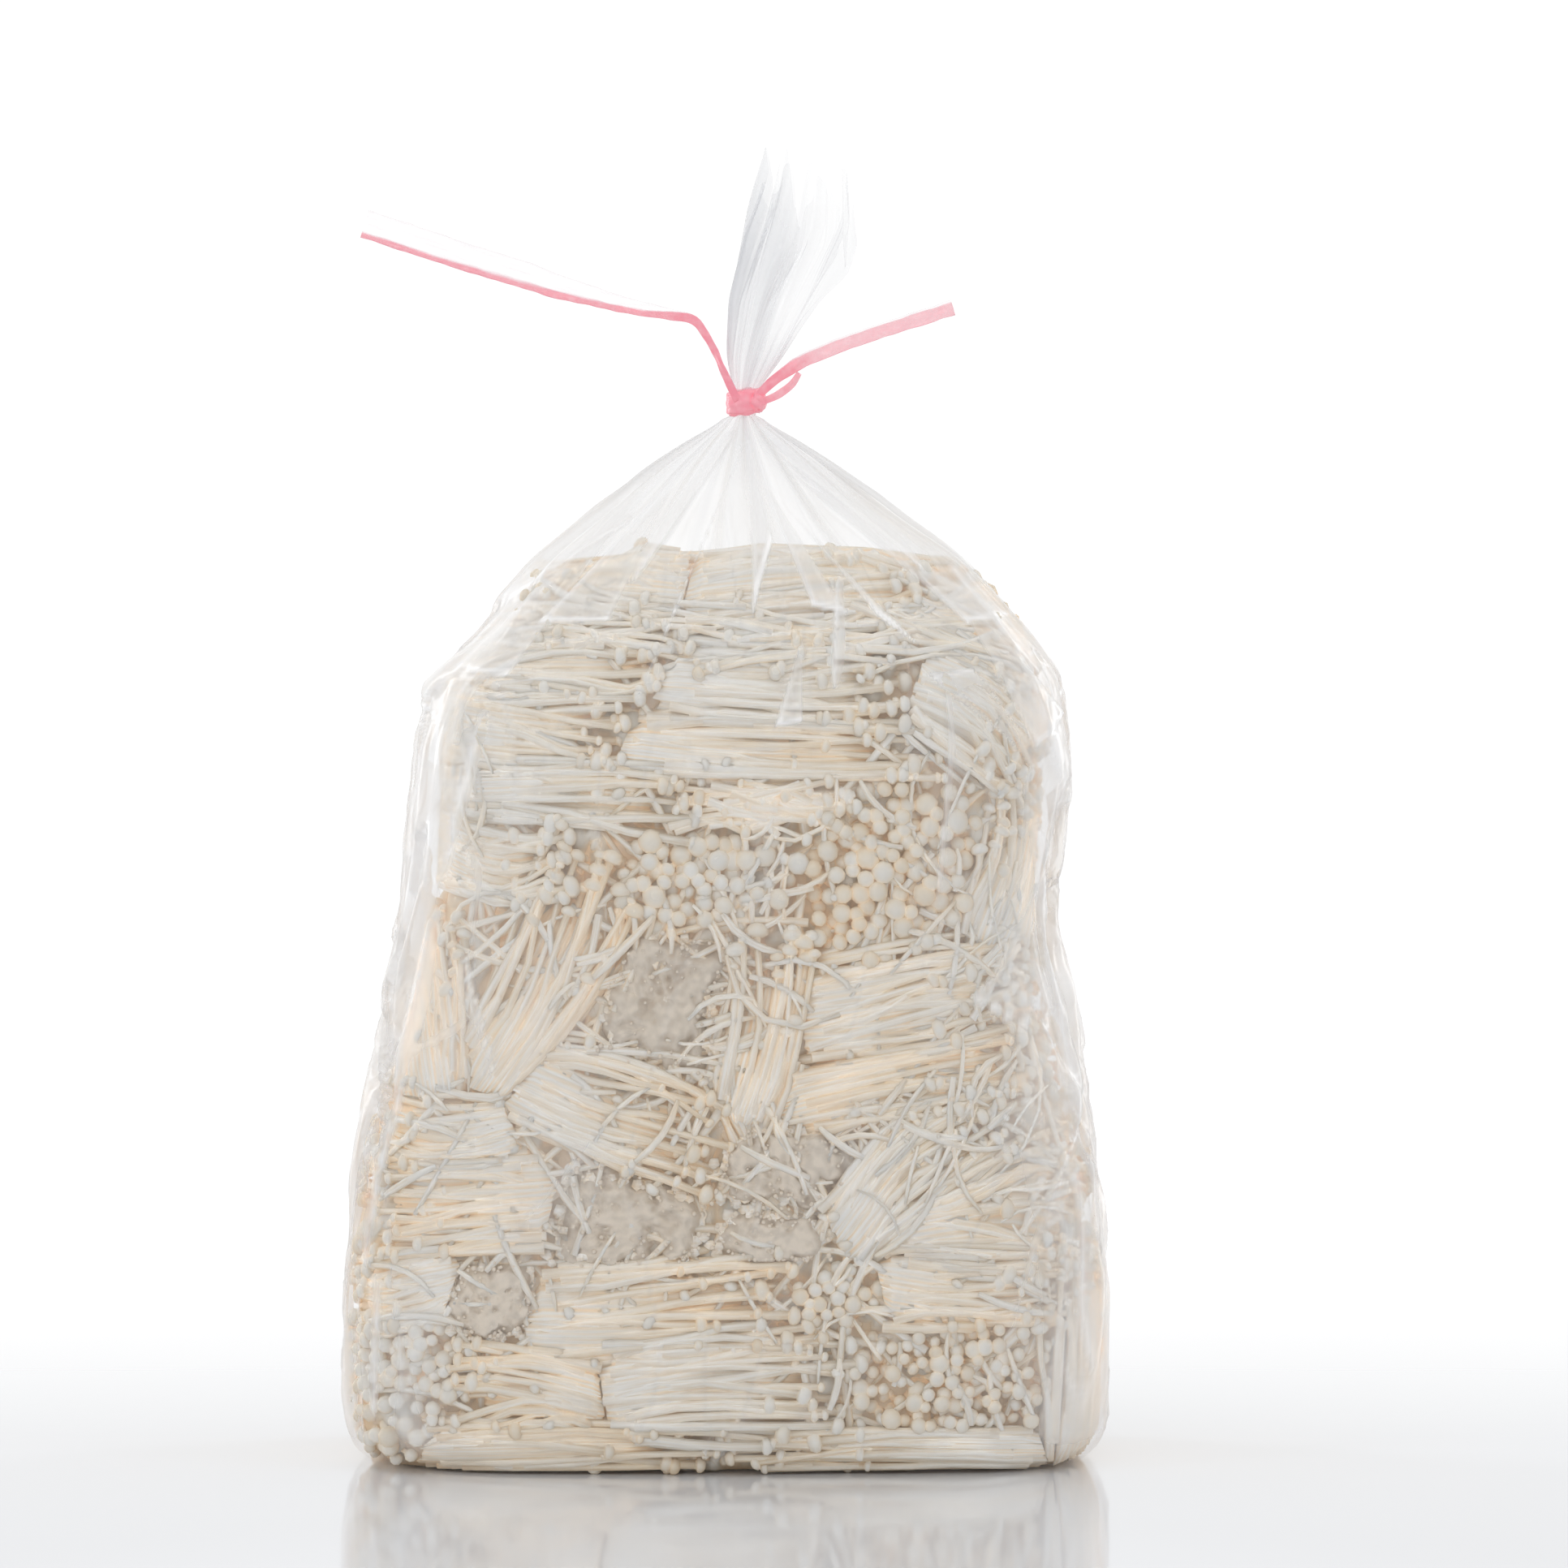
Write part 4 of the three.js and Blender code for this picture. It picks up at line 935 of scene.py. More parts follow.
def side_sheets(random):
    """Small crumpled sheets beside the bunches: centre in way round and height, three corners, and push."""
    for k in range(54):
        centre = np.array([GIRTH / 2 * (k % 2) + random.normal(0, 30 * MM), random.uniform(14, 262) * MM])
        heading = random.normal(0, 0.55)
        along = np.array([np.sin(heading), np.cos(heading)])
        along = along * random.uniform(14, 34) * MM * random.choice([-1, 1])
        across = np.array([np.cos(heading), -np.sin(heading)]) * random.uniform(4, 11) * MM
        corners = np.stack([along, -along - across, -along * random.uniform(0.5, 1) + across])
        yield centre, corners, random.uniform(0.15, 0.4) * slack_at(centre[1])


def film_points(columns, pleats):
    """The film's surface, row by row, with its point values.

    A row is a superellipse |x/W|^n + |y/D|^n = 1 walked by lengths of film, shorter in front than behind:
    the share of the way round is s + 0.35 (1 - cos 2 pi s) / 2 pi for columns s. It is pushed in and out
    by pleats, which are triangle waves of uneven widths that start at uneven heights, by straight folds
    with a triangle's section, by folded sheets, by ridged noise drawn out along the film, and by a pinch
    in one side.
    """
    z = film_rows()
    wide, deep, lean, square = outline(z)
    share = np.arange(columns) / columns
    share = share + 0.35 * (1 - np.cos(2 * np.pi * share)) / (2 * np.pi)
    angle = np.linspace(0, 2 * np.pi, 2881)
    x, y = [], []
    for w, d, n in zip(wide, deep, square):
        c, s = np.cos(angle), np.sin(angle)
        px, py = w * np.sign(c) * np.abs(c) ** (2 / n), d * np.sign(s) * np.abs(s) ** (2 / n)
        walked = np.concatenate([[0], np.cumsum(np.hypot(np.diff(px), np.diff(py)))])
        x.append(np.interp(share * walked[-1], walked, px))
        y.append(np.interp(share * walked[-1], walked, py))
    x, y = np.array(x), np.array(y)
    level = np.broadcast_to(z[:, None], x.shape)
    turn = unit(np.stack([np.roll(each, -1, 1) - np.roll(each, 1, 1) for each in (x, y)], axis=-1))
    out = np.stack([turn[..., 1], -turn[..., 0]], axis=-1)
    random = rng(21)
    # Pleats: ridge places round the film, each with its own start height and depth.
    ridge = np.sort((np.arange(pleats) + random.uniform(-0.36, 0.36, pleats)) / pleats)
    start = random.uniform(215, 296, pleats) * MM
    strength = random.uniform(0.4, 1.0, pleats)
    gap = (share[:, None] - ridge[None] + 0.5) % 1 - 0.5
    near = np.abs(gap).argmin(axis=1)
    apart = np.abs(gap[np.arange(columns), near]) * pleats
    grown = smoothstep(0, 1, (z[:, None] - start[near][None]) / (50 * MM)) * strength[near][None]
    peak = np.clip(1 - 2.0 * apart, -1, 1)[None]
    radius = np.sqrt(wide * deep)[:, None]
    depth = np.minimum(radius * np.interp(z, [0.2, 0.25, 0.29, 0.316, 0.323, 0.331, 0.345, 0.406],
                                          [0, 0.02, 0.08, 0.20, 0.08, 0.08, 0.2, 0.3])[:, None], 7 * MM)
    push = depth * grown * peak
    # Straight folds: listed ones on the front of the shoulders, and scattered ones in the slack film.
    folds, width, amount = slack_folds(random)
    low = smoothstep(2 * MM, 14 * MM, level) * (1 - smoothstep(292 * MM, 312 * MM, level))
    # crease: how folded the film is, which makes it more opaque, with a painted highlight along its folds,
    # sheets and pleats, and the milky haze at its sides.
    crease = np.zeros(x.shape)
    for shift in (-GIRTH, 0, GIRTH):
        spot = np.stack([np.broadcast_to(share[None] * GIRTH + shift, x.shape), level], axis=-1)
        on = ridges(spot, folds, width) * low[..., None]
        push = push + (on * amount).sum(axis=-1)
        bright = 0.55 * on**1.5 + 0.45 * smoothstep(0.8, 1.0, on)
        crease = np.maximum(crease, (bright * np.minimum(np.abs(amount) / (3.2 * MM), 0.9)).max(-1))
    seen = np.stack([x + lean[:, None], level], axis=-1)
    facing = smoothstep(0, 12 * MM, np.abs(y)) * np.where(y < 0, 1.0, 0.7)
    on = ridges(seen, LONG_FOLDS.reshape(-1, 2, 2) * MM, 9 * MM).max(axis=-1) * facing
    found = sheets(seen, SHOULDER_SHEETS.reshape(-1, 3, 2) * MM)
    raised, bright = (each.max(axis=-1) * facing for each in found)
    push = push + 1.3 * MM * on + 1.6 * MM * raised
    crease = np.maximum.reduce([crease, 0.6 * on**1.5 + 0.15 * smoothstep(0.75, 1.0, on), bright])
    for centre, corners, amount in side_sheets(random):
        local = np.stack(np.broadcast_arrays(share[None] * GIRTH - centre[0], level - centre[1]), axis=-1)
        local[..., 0] = (local[..., 0] + GIRTH / 2) % GIRTH - GIRTH / 2
        raised, bright = (each[..., 0] * low for each in sheets(local, corners[None]))
        push = push - amount * raised
        crease = np.maximum(crease, 0.75 * bright)
    # Ridged noise: soft folds beside the bunches, slight ones over the faces.
    round_way = np.stack([np.cos(share * 2 * np.pi), np.sin(share * 2 * np.pi)], axis=-1)
    flat = np.broadcast_to(round_way * 95 * MM, (*x.shape, 2))
    flat = np.concatenate([flat, level[..., None] * 0.3], axis=-1)
    fold = np.clip(1 - np.abs(waves(flat, 24 * MM, 5)), 0, 1)
    fine = np.clip(1 - np.abs(waves(flat, 10 * MM, 6)), 0, 1)
    sides = smoothstep(0.6, 0.95, np.abs(x) / wide[:, None])
    push = push - low * (0.3 + 2.2 * sides) * MM * (1 - fold) - low * (0.1 + 0.4 * sides) * MM * (1 - fine)
    pinch = np.exp(-(((level - 168 * MM) / (22 * MM)) ** 2)) * smoothstep(0.7, 1.0, x / wide[:, None])
    push = push - 4.5 * MM * pinch
    crease = np.maximum(crease, smoothstep(0.8, 1.0, fold) * (0.1 + 0.25 * sides) * low)
    milky = np.clip(0.5 + 0.6 * waves(flat, 40 * MM, 7), 0, 1)
    crease = crease + 0.6 * milky * smoothstep(0.62, 0.97, np.abs(x) / wide[:, None]) * low * (1 - crease)
    crease = np.maximum(crease, 0.4 * grown * smoothstep(0.5, 1.0, peak) * smoothstep(0.215, 0.27, level))
    crease = crease * (1 - smoothstep(0.335, 0.36, level))
    x, y = x + out[..., 0] * push, y + out[..., 1] * push
    # How gathered the film is: most at the neck and on the tail's left, fading down and to the open edge.
    left = smoothstep(0.6, -0.5, x / np.maximum(wide[:, None], 1 * MM))
    gather = np.interp(level, [0.225, 0.26, 0.30, 0.318, 0.333], [0, 0.12, 0.18, 0.42, 0.5])
    tail = (0.08 + 0.5 * left) * (1 - 0.75 * smoothstep(0.37, 0.404, level))
    gather = np.where(level > 0.333, tail + (0.5 - tail) * (1 - smoothstep(0.333, 0.35, level)), gather)
    ragged = 396 * MM + 10 * MM * waves(round_way, 0.6, 9)
    tall = level + smoothstep(0.345, 0.398, level) * (np.clip(ragged, 378 * MM, 406 * MM) - 398 * MM)[None]
    around = np.concatenate([np.broadcast_to(round_way, (*x.shape, 2)), level[..., None] * 1.5], axis=-1)
    values = {"crease": crease, "gather": gather, "around": around}
    return np.stack([x + lean[:, None], y, tall], axis=-1), values


def build_film():
    """The bag as one sheet: a flat bottom of shrinking rows, then the walls, shoulder, neck and mouth."""
    s = bpy.context.scene.enoki_film
    walls, values = film_points(s.columns, s.pleats)
    inward = np.linspace(0.04, 0.97, 8)
    centre = walls[0].mean(axis=0)
    floor = centre + (walls[0] - centre)[None] * inward[:, None, None]
    points = np.concatenate([floor, walls])
    for label, each in values.items():
        each = np.concatenate([np.repeat(each[:1] * (label == "around"), len(inward), axis=0), each])
        values[label] = each.reshape(-1, 3) if each.ndim == 3 else each.ravel()
    faces = [grid_faces(len(points), s.columns, True), np.arange(s.columns)[::-1][None]]
    return new_mesh("clear_bag", points, faces, values)


# ---- Operators ----

class ENOKI_OT_bunches(bpy.types.Operator):
    """Builds every bunch in its own place against the front and back film"""

    bl_idname = "enoki.bunches"
    bl_label = "Bunches"

    def execute(self, context):
        flesh_mat = shared("enoki_flesh", flesh_material)
        sponge_mat = shared("enoki_sponge", sponge_material)
        for face, side in (("front", -1), ("back", 1)):
            plans = plans_of(side)
            for index in range(len(plans)):
                parts, spongy = bunch_parts(plans, index, side, 1000 + 50 * index + (500 if side > 0 else 0))
                verts, faces, values = merged(parts)
                piece = new_mesh(f"enoki_{face}_{index + 1:02d}", verts, faces, values)
                piece.data.materials.append(flesh_mat)
                piece.data.materials.append(sponge_mat)
                slots = np.zeros(len(piece.data.polygons), dtype=np.int32)
                if plans[index][0] == "pad":
                    slots[:spongy] = 1
                    crumbs = sum(len(f) for f in parts[0][1])
                    slots[crumbs:crumbs + sum(len(f) for f in parts[1][1])] = 1
                piece.data.polygons.foreach_set("material_index", slots)
                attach(piece, "root")
                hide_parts(f"bunch_{face}_{index + 1:02d}")
        return {"FINISHED"}


# Lots of loose stems, as loose_paths takes them. The last two lie along the top and over one gap.
LOOSE_LOTS = {
    "shred": dict(clusters=34, each=5, spread=8, long=(5, 15), curve=0.16, under=0.2),
    "bent": dict(clusters=60, each=1, spread=4, long=(10, 24), curve=0.35, under=0.8),
    "deep": dict(clusters=150, each=1, spread=4, long=(14, 30), curve=0.2, under=4.5),
    "whole": dict(clusters=150, each=1, spread=4, long=(12, 26), curve=0.14, under=2.4),
    "buried": dict(clusters=150, each=1, spread=4, long=(14, 26), curve=0.14, under=6.5),
    "upper": dict(clusters=56, each=1, spread=2, long=(14, 30), curve=0.1, under=0.3,
                  heights=(244, 258, 270), turn=0.5),
    "patch": dict(clusters=40, each=1, spread=1.5, long=(8, 18), curve=0.1, under=1.2,
                  heights=(197, 205, 211), turn=0.6, across=(-4, 27)),
}


class ENOKI_OT_loose_stems(bpy.types.Operator):
    """Scatters broken stems and single mushrooms between the bunches and the film"""

    bl_idname = "enoki.loose_stems"
    bl_label = "Loose Stems"

    def execute(self, context):
        for face, side in (("front", -1), ("back", 1)):
            random = rng(70 + side)
            shred, bent, deep, whole, buried, upper, patch = (
                loose_paths(random, side, **lot) for lot in LOOSE_LOTS.values()
            )
            broken, single = np.concatenate([shred, bent]), np.concatenate([whole, buried, upper, patch])
            parts = [strands(broken, random.uniform(0.5, 1.3, len(broken)) * MM, 5, random, 0.45, (0.1, 0.7)),
                     strands(deep, random.uniform(0.9, 1.4, len(deep)) * MM, 5, random, 0.8, (0.2, 0.6))]
            parts += mushrooms(single, random.uniform(0.9, 1.35, len(single)) * MM,
                               random.uniform(1.6, 3.0, len(single)) * MM, 5, random)
            verts, faces, values = deep_shaded(merged([*parts, filling(side)]), side)
            piece = new_mesh(f"loose_stems_{face}_fine", verts, faces, values)
            piece.data.materials.append(shared("enoki_flesh", flesh_material))
            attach(piece, "root")
            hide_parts(f"loose_stems_{face}")
        return {"FINISHED"}


def filling(side):
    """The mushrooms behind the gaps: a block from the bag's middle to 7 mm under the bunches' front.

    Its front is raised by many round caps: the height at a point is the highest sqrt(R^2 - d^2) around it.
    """
    rows, columns, hidden, caps = 96, 120, 6, 1500
    random = rng(90 + side)
    z = np.linspace(0.8, FILLING_TOP, rows)[:, None] * MM
    wide, _, lean, _ = chamber(z)
    x = lean + (wide - 5 * MM) * np.linspace(-1, 1, columns)[None]
    spots = np.stack([random.uniform(-118, 118, caps), random.uniform(0, 275, caps)], axis=-1) * MM
    radius = random.uniform(1.8, 3.8, caps) * MM
    raised = np.zeros(x.shape)
    for row in range(rows):
        near = np.abs(spots[:, 1] - z[row]) < radius
        apart = (x[row][:, None] - spots[near, 0]) ** 2 + (z[row] - spots[near, 1]) ** 2
        raised[row] = np.sqrt(np.clip(radius[near] ** 2 - apart, 0, None)).max(axis=1, initial=0)
    front = np.maximum(depth_at(x, z) - FILLING_DEPTH + raised, 3 * MM)
    behind = lean + (wide - 5 * MM) * np.linspace(1, -1, hidden)[None]
    x = np.concatenate([x, behind], axis=1)
    y = side * np.concatenate([front, np.full(behind.shape, 0.05 * MM)], axis=1)
    p = np.stack([x, y, np.broadcast_to(z, x.shape)], axis=-1)
    total = columns + hidden
    faces = [grid_faces(rows, total, True), np.arange(total)[::-1][None],
             (np.arange(total) + (rows - 1) * total)[None]]
    if side > 0:
        faces = [f[:, ::-1] for f in faces]
    # Painted shade: the front is lighter on its raised caps and darker in the hollows between them, and the
    # hidden back is darker still.
    tone_and_shade = np.concatenate([raised / (4 * MM) + 0.2, np.zeros(behind.shape)], axis=1)
    return flesh_part(p, faces, tone_and_shade, np.full(x.shape, 0.6), np.zeros((*x.shape, 2)))


def loose_paths(random, side, clusters, each, spread, long, curve, under,
                heights=(5, 90, 270), turn=2 * np.pi, across=(-100, 106)):
    """Arcs against the film: clusters of stems with much the same heading, under (mm) inside the film.

    long is the least and the greatest half length. heights are the lowest, the commonest and the highest,
    across is the least and the greatest x, all in mm, and turn is the spread of their headings, which may
    point either way. A stem that would run past the bunches' side is moved in whole.
    """
    count = clusters * each
    x = np.repeat(random.uniform(*across, clusters), each) + random.normal(0, spread, count)
    z = np.repeat(random.triangular(*heights, clusters), each) + random.normal(0, spread, count)
    angle = random.uniform(-turn / 2, turn / 2, clusters) + np.pi * random.integers(0, 2, clusters)
    angle = np.repeat(angle, each) + random.normal(0, min(0.25, turn / 4), count)
    half = random.uniform(*long, count) * MM
    share = np.linspace(-1, 1, 5)[None]
    heading = angle[:, None] + random.normal(0, curve, count)[:, None] * share
    px = x[:, None] * MM + np.cos(heading) * half[:, None] * share
    pz = z[:, None] * MM + np.sin(heading) * half[:, None] * share
    wide, _, lean, _ = chamber(np.clip(pz, 0, FILL_TOP))
    for way in (-1, 1):
        over = (way * (px - lean) - wide + 7 * MM).max(axis=1, keepdims=True)
        px = px - way * np.maximum(over, 0)
    layer = (under + random.uniform(0, 2.0, count))[:, None] * MM
    py = side * (depth_at(px, pz) + 0.4 * MM - layer)
    return squeezed(np.stack([px, py, pz], -1), 0.2 * MM, [], side)


class ENOKI_OT_film(bpy.types.Operator):
    """Builds the clear bag with its gathers, folds and ragged mouth"""

    bl_idname = "enoki.film"
    bl_label = "Film"

    def execute(self, context):
        piece = build_film()
        piece.data.materials.append(shared("clear_film", film_material))
        piece.visible_diffuse = piece.visible_shadow = False
        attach(piece, "root")
        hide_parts("bag_film")
        return {"FINISHED"}


def ribbon(route, width, stripe, clear=0.04, tinted=0.62, crinkle=0.45 * MM, seed=3, columns=13):
    """A tape along a route: point = path + w s up + crinkle noise, with s across from 0 to 1.

    The route is in mm as x, y, z rows. width gives the tape's width in mm, and stripe the share of it that
    is coloured, at a share t of the way. clear and tinted are the alphas of the plain part and the stripe.
    """
    thick = 0.12 * MM
    route = np.asarray(route, dtype=float) * MM
    steps = np.concatenate([[0], np.cumsum(np.linalg.norm(np.diff(route, axis=0), axis=1))])
    rows = max(12, int(steps[-1] / (1.2 * MM)))
    t = np.linspace(0, 1, rows)
    path = np.stack([np.interp(t * steps[-1], steps, route[:, k]) for k in range(3)], axis=-1)
    for _ in range(6):
        path[1:-1] = (path[:-2] + 2 * path[1:-1] + path[2:]) / 4
    way = unit(np.gradient(path, axis=0))
    up = np.array([0.0, -0.25, 1.0])
    up = unit(up - (way @ up)[:, None] * way)
    face = np.cross(way, up)
    s = np.linspace(0, 1, columns)[None]
    wide = np.asarray(width(t))[:, None] * MM
    p = path[:, None] + (s * wide)[..., None] * up[:, None]
    cross = np.stack([np.broadcast_to(t[:, None] * steps[-1], (rows, columns)), s * wide * 2.5], axis=-1)
    p = p + (crinkle * waves(cross, 7 * MM, seed) * np.minimum(wide / (5 * MM), 1))[..., None] * face[:, None]
    limit = np.asarray(stripe(t))[:, None]
    pink = 1 - smoothstep(limit - 0.05, limit + 0.05, np.broadcast_to(s, (rows, columns)))
    rim = np.maximum(smoothstep(0.9, 1.0, s), smoothstep(0.05, 0, np.abs(s - 0.62)))
    shine = 0.07 * smoothstep(0.2, 1.0, waves(cross * np.array([0.3, 1.6]), 5 * MM, seed + 1))
    solid = tinted + (0.92 - tinted) * (1 - smoothstep(0.05, 0.4, t))[:, None] + 0.1 * smoothstep(0.1, 0, s)
    cover = np.maximum(clear + 0.16 * rim + shine, pink * solid)
    both = np.concatenate([p + face[:, None] * thick / 2, p - face[:, None] * thick / 2])
    count = rows * columns
    one = grid_faces(rows, columns, False)
    two = one[:, ::-1] + count
    edge = np.concatenate([
        np.arange(columns), np.arange(1, rows) * columns + columns - 1,
        count - columns + np.arange(columns - 2, -1, -1), np.arange(rows - 2, 0, -1) * columns,
    ])
    after = np.roll(edge, -1)
    step = np.stack([edge, after, after + count, edge + count], axis=-1)
    values = {"stripe": np.concatenate([pink, pink]).ravel(), "cover": np.concatenate([cover, cover]).ravel()}
    return both.reshape(-1, 3), [one, two, step[:, ::-1]], values


def solid_pink(count):
    """The point values of a piece of tape that is coloured all over."""
    return {"stripe": np.ones(count), "cover": np.full(count, 0.94)}


def winding():
    """Turns of gathered tape round the neck: a tube round a ring, ridged along its turns."""
    rows, columns = 48, 32
    a = np.arange(rows)[:, None] * 2 * np.pi / rows
    b = np.arange(columns)[None] * 2 * np.pi / columns
    ridge = 1 + 0.13 * np.cos(8 * b + 1.2 * np.sin(2 * a)) + 0.07 * np.cos(5 * a + 4 * b)
    r = (4.75 + 1.0 * ridge * np.cos(b)) * MM
    z = (327.2 + (3.5 * ridge * np.sin(b)) + 0.6 * np.sin(a + 1)) * MM
    p = np.stack([5.7 * MM + r * np.cos(a), r * np.sin(a), z + 0 * a], axis=-1)
    count = rows * columns
    index = np.arange(count).reshape(rows, columns)
    right, up = np.roll(index, -1, axis=0), np.roll(index, -1, axis=1)
    faces = np.stack([index, right, np.roll(right, -1, axis=1), up], axis=-1).reshape(-1, 4)
    return p.reshape(-1, 3), [faces], solid_pink(count)


def knot():
    """The knot beside the neck: an egg with two crossing grooves."""
    rows, columns = 18, 24
    a = np.linspace(0.08, np.pi - 0.08, rows)[:, None]
    b = np.arange(columns)[None] * 2 * np.pi / columns
    r = 2.7 * (1 + 0.13 * np.cos(5 * a + 3 * b) - 0.10 * np.cos(4 * b)) * MM
    p = np.stack([10.2 * MM + 0.95 * r * np.sin(a) * np.cos(b), -4.6 * MM + 0.8 * r * np.sin(a) * np.sin(b),
                  327.3 * MM - 1.1 * r * np.cos(a) + 0 * b], axis=-1)
    faces = [grid_faces(rows, columns, True), np.arange(columns)[::-1][None],
             (np.arange(columns) + (rows - 1) * columns)[None]]
    return p.reshape(-1, 3), faces, solid_pink(rows * columns)


class ENOKI_OT_tie(bpy.types.Operator):
    """Builds the tape's turns, knot, loop and two ends"""

    bl_idname = "enoki.tie"
    bl_label = "Tie"

    def execute(self, context):
        left = ribbon([(2.6, -5, 327), (-0.6, -6.4, 333.5), (-4.6, -6.6, 343), (-9.8, -6.4, 351.5),
                       (-19, -6, 352.6), (-34, -5.6, 355), (-54, -5.2, 359.5), (-84, -4.6, 368.5),
                       (-113, -4, 378)],
                      lambda t: np.interp(t, [0, 0.18, 0.3, 0.6, 1], [2.4, 2.6, 4.2, 8.6, 9.2]),
                      lambda t: np.interp(t, [0, 0.2, 0.32, 0.6, 1], [1.2, 1.1, 0.42, 0.26, 0.2]))
        right = ribbon([(10, -5.4, 327.5), (15.5, -6.4, 332.5), (24.5, -6.8, 338), (38.5, -6.6, 343.5),
                        (53.5, -6, 348.5), (71, -5.4, 354)],
                       lambda t: np.interp(t, [0, 0.3, 1], [2.4, 4.6, 5.0]),
                       lambda t: np.interp(t, [0, 0.25, 1], [1.2, 0.92, 0.86]), tinted=0.42, seed=4)
        loop = ribbon([(10.4, -6, 326), (16, -7.6, 327.6), (21, -8, 331), (23.5, -7.6, 335.6)],
                      lambda t: np.interp(t, [0, 0.5, 1], [2.0, 2.6, 2.0]), lambda t: 1.2 + 0 * t, seed=5)
        verts, faces, values = merged([winding(), knot(), left, right, loop])
        piece = new_mesh("neck_tie", verts, faces, values)
        piece.data.materials.append(shared("striped_tape", tape_material))
        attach(piece, "root")
        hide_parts("tie_tape")
        return {"FINISHED"}


def floor_material():
    """Glossy white table top that fades out well away from the bag."""
    mat, tree, shader, add = material("floor_white")
    place = add("ShaderNodeTexCoord").outputs["Object"]
    shifted = add("ShaderNodeMapping", {"Vector": place, "Location": (0.0, 2.7, 0.0)})
    away = add("ShaderNodeVectorMath", {0: shifted.outputs[0]}, operation="LENGTH")
    fade = add("ShaderNodeMapRange", {"Value": away.outputs["Value"], 1: 2.74, 2: 3.2, 3: 1.0, 4: 0.0})
    cloud = add("ShaderNodeTexNoise", {"Vector": place, "Scale": 3.0, "Detail": 1.0})
    soft = add("ShaderNodeMapRange", {"Value": cloud.outputs["Fac"], 1: 0.0, 2: 1.0, 3: 0.07, 4: 0.09})
    tree.links.new(fade.outputs[0], shader.inputs["Alpha"])
    tree.links.new(soft.outputs[0], shader.inputs["Roughness"])
    shader.inputs["Base Color"].default_value = (0.885, 0.925, 1.0, 1)
    shader.inputs["IOR"].default_value = 1.45
    return mat


def studio_world():
    """A white surround. Matt surfaces are lit by a dimmer one, so that pale flesh keeps its tones."""
    world = bpy.data.worlds.new("studio")
    world.use_nodes = True
    tree = world.node_tree
    dim = tree.nodes["Background"]
    dim.inputs["Color"].default_value = (1.0, 0.95, 0.88, 1)
    dim.inputs["Strength"].default_value = 0.325
    white = tree.nodes.new("ShaderNodeBackground")
    white.inputs["Color"].default_value = (1, 1, 1, 1)
    white.inputs["Strength"].default_value = 1.06
    ray = tree.nodes.new("ShaderNodeLightPath")
    seen = tree.nodes.new("ShaderNodeMath")
    seen.operation = "MAXIMUM"
    mix = tree.nodes.new("ShaderNodeMixShader")
    tree.links.new(ray.outputs["Is Camera Ray"], seen.inputs[0])
    tree.links.new(ray.outputs["Is Glossy Ray"], seen.inputs[1])
    tree.links.new(seen.outputs[0], mix.inputs[0])
    tree.links.new(dim.outputs[0], mix.inputs[1])
    tree.links.new(white.outputs[0], mix.inputs[2])
    tree.links.new(mix.outputs[0], tree.nodes["World Output"].inputs["Surface"])
    return world


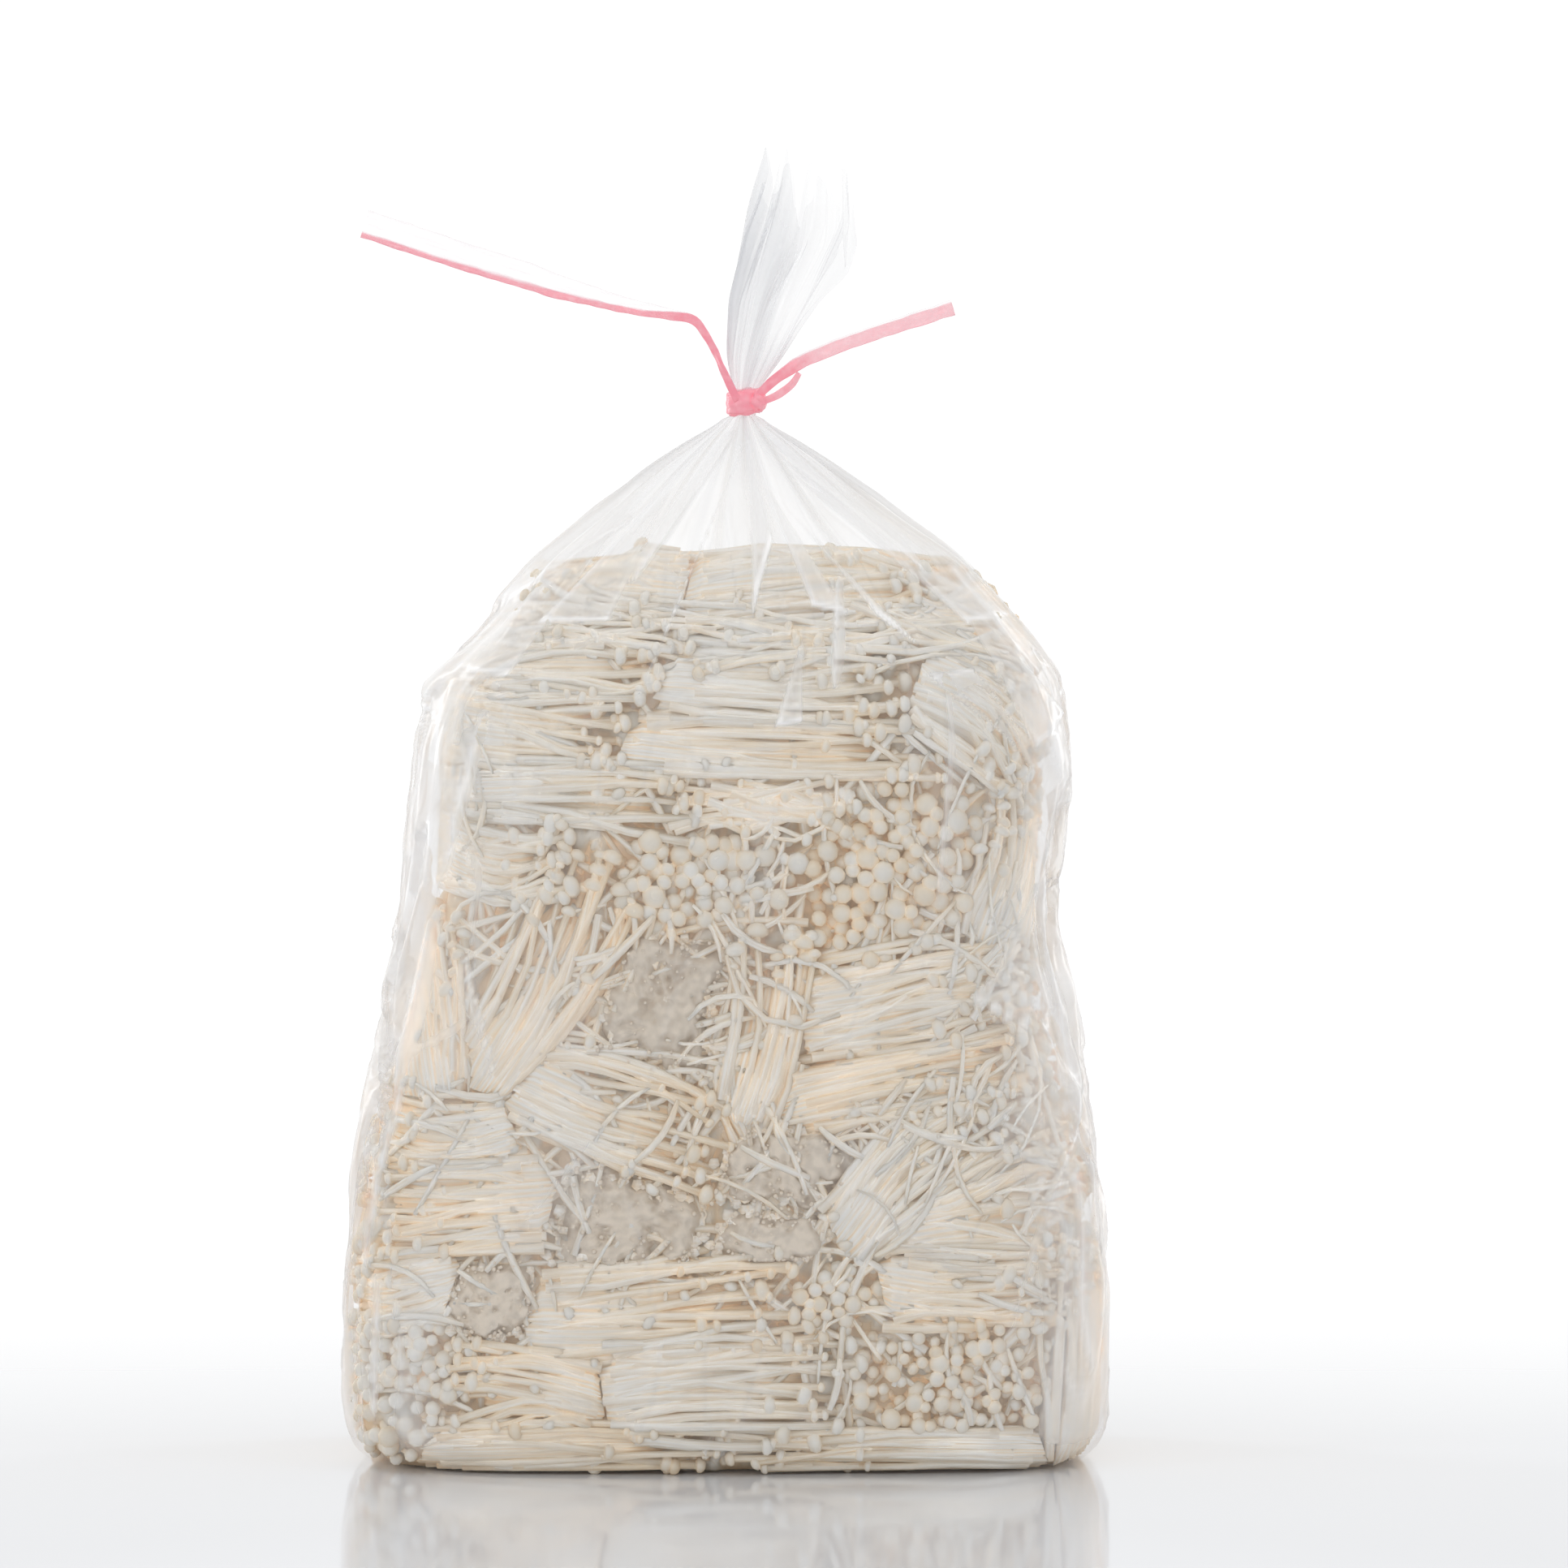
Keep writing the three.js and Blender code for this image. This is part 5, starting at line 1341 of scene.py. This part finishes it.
class ENOKI_OT_stage(bpy.types.Operator):
    """Sets the pale floor, the soft lights and the camera"""

    bl_idname = "enoki.stage"
    bl_label = "Stage"

    def execute(self, context):
        scene = context.scene
        scene.view_settings.view_transform = "Standard"
        scene.view_settings.gamma = 1.12
        scene.world = studio_world()
        corners = np.array([(-6, -6, 0), (6, -6, 0), (6, 6, 0), (-6, 6, 0)], dtype=float)
        floor = new_mesh("floor", corners, [np.array([[0, 1, 2, 3]])], smooth=False)
        floor.data.materials.append(floor_material())
        for name, place, size, power in (
            ("left_strip", (-0.85, 0.55, 0.45), (0.22, 1.1), 2.6),
            ("right_strip", (0.85, 0.55, 0.45), (0.22, 1.1), 2.6),
            ("left_front", (-1.2, -0.9, 0.6), (0.3, 0.9), 2.2),
            ("right_front", (1.2, -0.8, 0.6), (0.3, 0.9), 1.6),
            ("top_panel", (0, -0.1, 1.5), (1.4, 1.0), 5.4),
            ("front_panel", (-0.6, -2.2, 1.1), (1.6, 1.2), 6.3),
        ):
            light = bpy.data.lights.new(name, "AREA")
            light.shape, light.size, light.size_y, light.energy = "RECTANGLE", size[0], size[1], power
            light.color = (0.97, 0.985, 1.0)
            lamp = bpy.data.objects.new(name, light)
            lamp.location = place
            aim = np.array([0, 0, 0.17]) - np.array(place)
            tip, swing = np.arctan2(np.hypot(aim[0], aim[1]), -aim[2]), np.arctan2(aim[1], aim[0]) - np.pi / 2
            lamp.rotation_euler = (tip, 0, swing)
            lamp.visible_camera = False
            scene.collection.objects.link(lamp)
        camera = bpy.data.cameras.new("camera")
        camera.lens, camera.sensor_width, camera.clip_end = 200, 36, 30
        eye = bpy.data.objects.new("camera", camera)
        scene.collection.objects.link(eye)
        scene.camera = eye
        distance = VIEW_WIDTH * camera.lens / camera.sensor_width
        lift = np.radians(VIEW_LIFT)
        target = np.array([18 * MM, 0, 208.6 * MM])
        eye.location = target + distance * np.array([0, -np.cos(lift), np.sin(lift)])
        eye.rotation_euler = (np.pi / 2 - lift, 0, 0)
        return {"FINISHED"}


class ENOKI_PT_panel(bpy.types.Panel):
    """Lists the steps that build the bag"""

    bl_idname = "ENOKI_PT_panel"
    bl_label = "Enoki Bag"
    bl_space_type = "VIEW_3D"
    bl_region_type = "UI"
    bl_category = "Enoki Bag"

    def draw(self, context):
        for settings in (context.scene.enoki_bunch, context.scene.enoki_film):
            for name in settings.bl_rna.properties.keys():
                if name not in ("rna_type", "name"):
                    self.layout.prop(settings, name)
        for step in STEPS:
            self.layout.operator(step.bl_idname)


STEPS = (ENOKI_OT_stage, ENOKI_OT_bunches, ENOKI_OT_loose_stems, ENOKI_OT_film, ENOKI_OT_tie)
CLASSES = (EnokiBunchSettings, EnokiFilmSettings, *STEPS, ENOKI_PT_panel)


def register():
    for cls in CLASSES:
        bpy.utils.register_class(cls)
    bpy.types.Scene.enoki_bunch = bpy.props.PointerProperty(type=EnokiBunchSettings)
    bpy.types.Scene.enoki_film = bpy.props.PointerProperty(type=EnokiFilmSettings)


def unregister():
    del bpy.types.Scene.enoki_film
    del bpy.types.Scene.enoki_bunch
    for cls in reversed(CLASSES):
        bpy.utils.unregister_class(cls)


def main():
    register()
    bpy.ops.enoki.stage()
    bpy.ops.enoki.bunches()
    bpy.ops.enoki.loose_stems()
    bpy.ops.enoki.film()
    bpy.ops.enoki.tie()


if __name__ == "__main__":
    main()
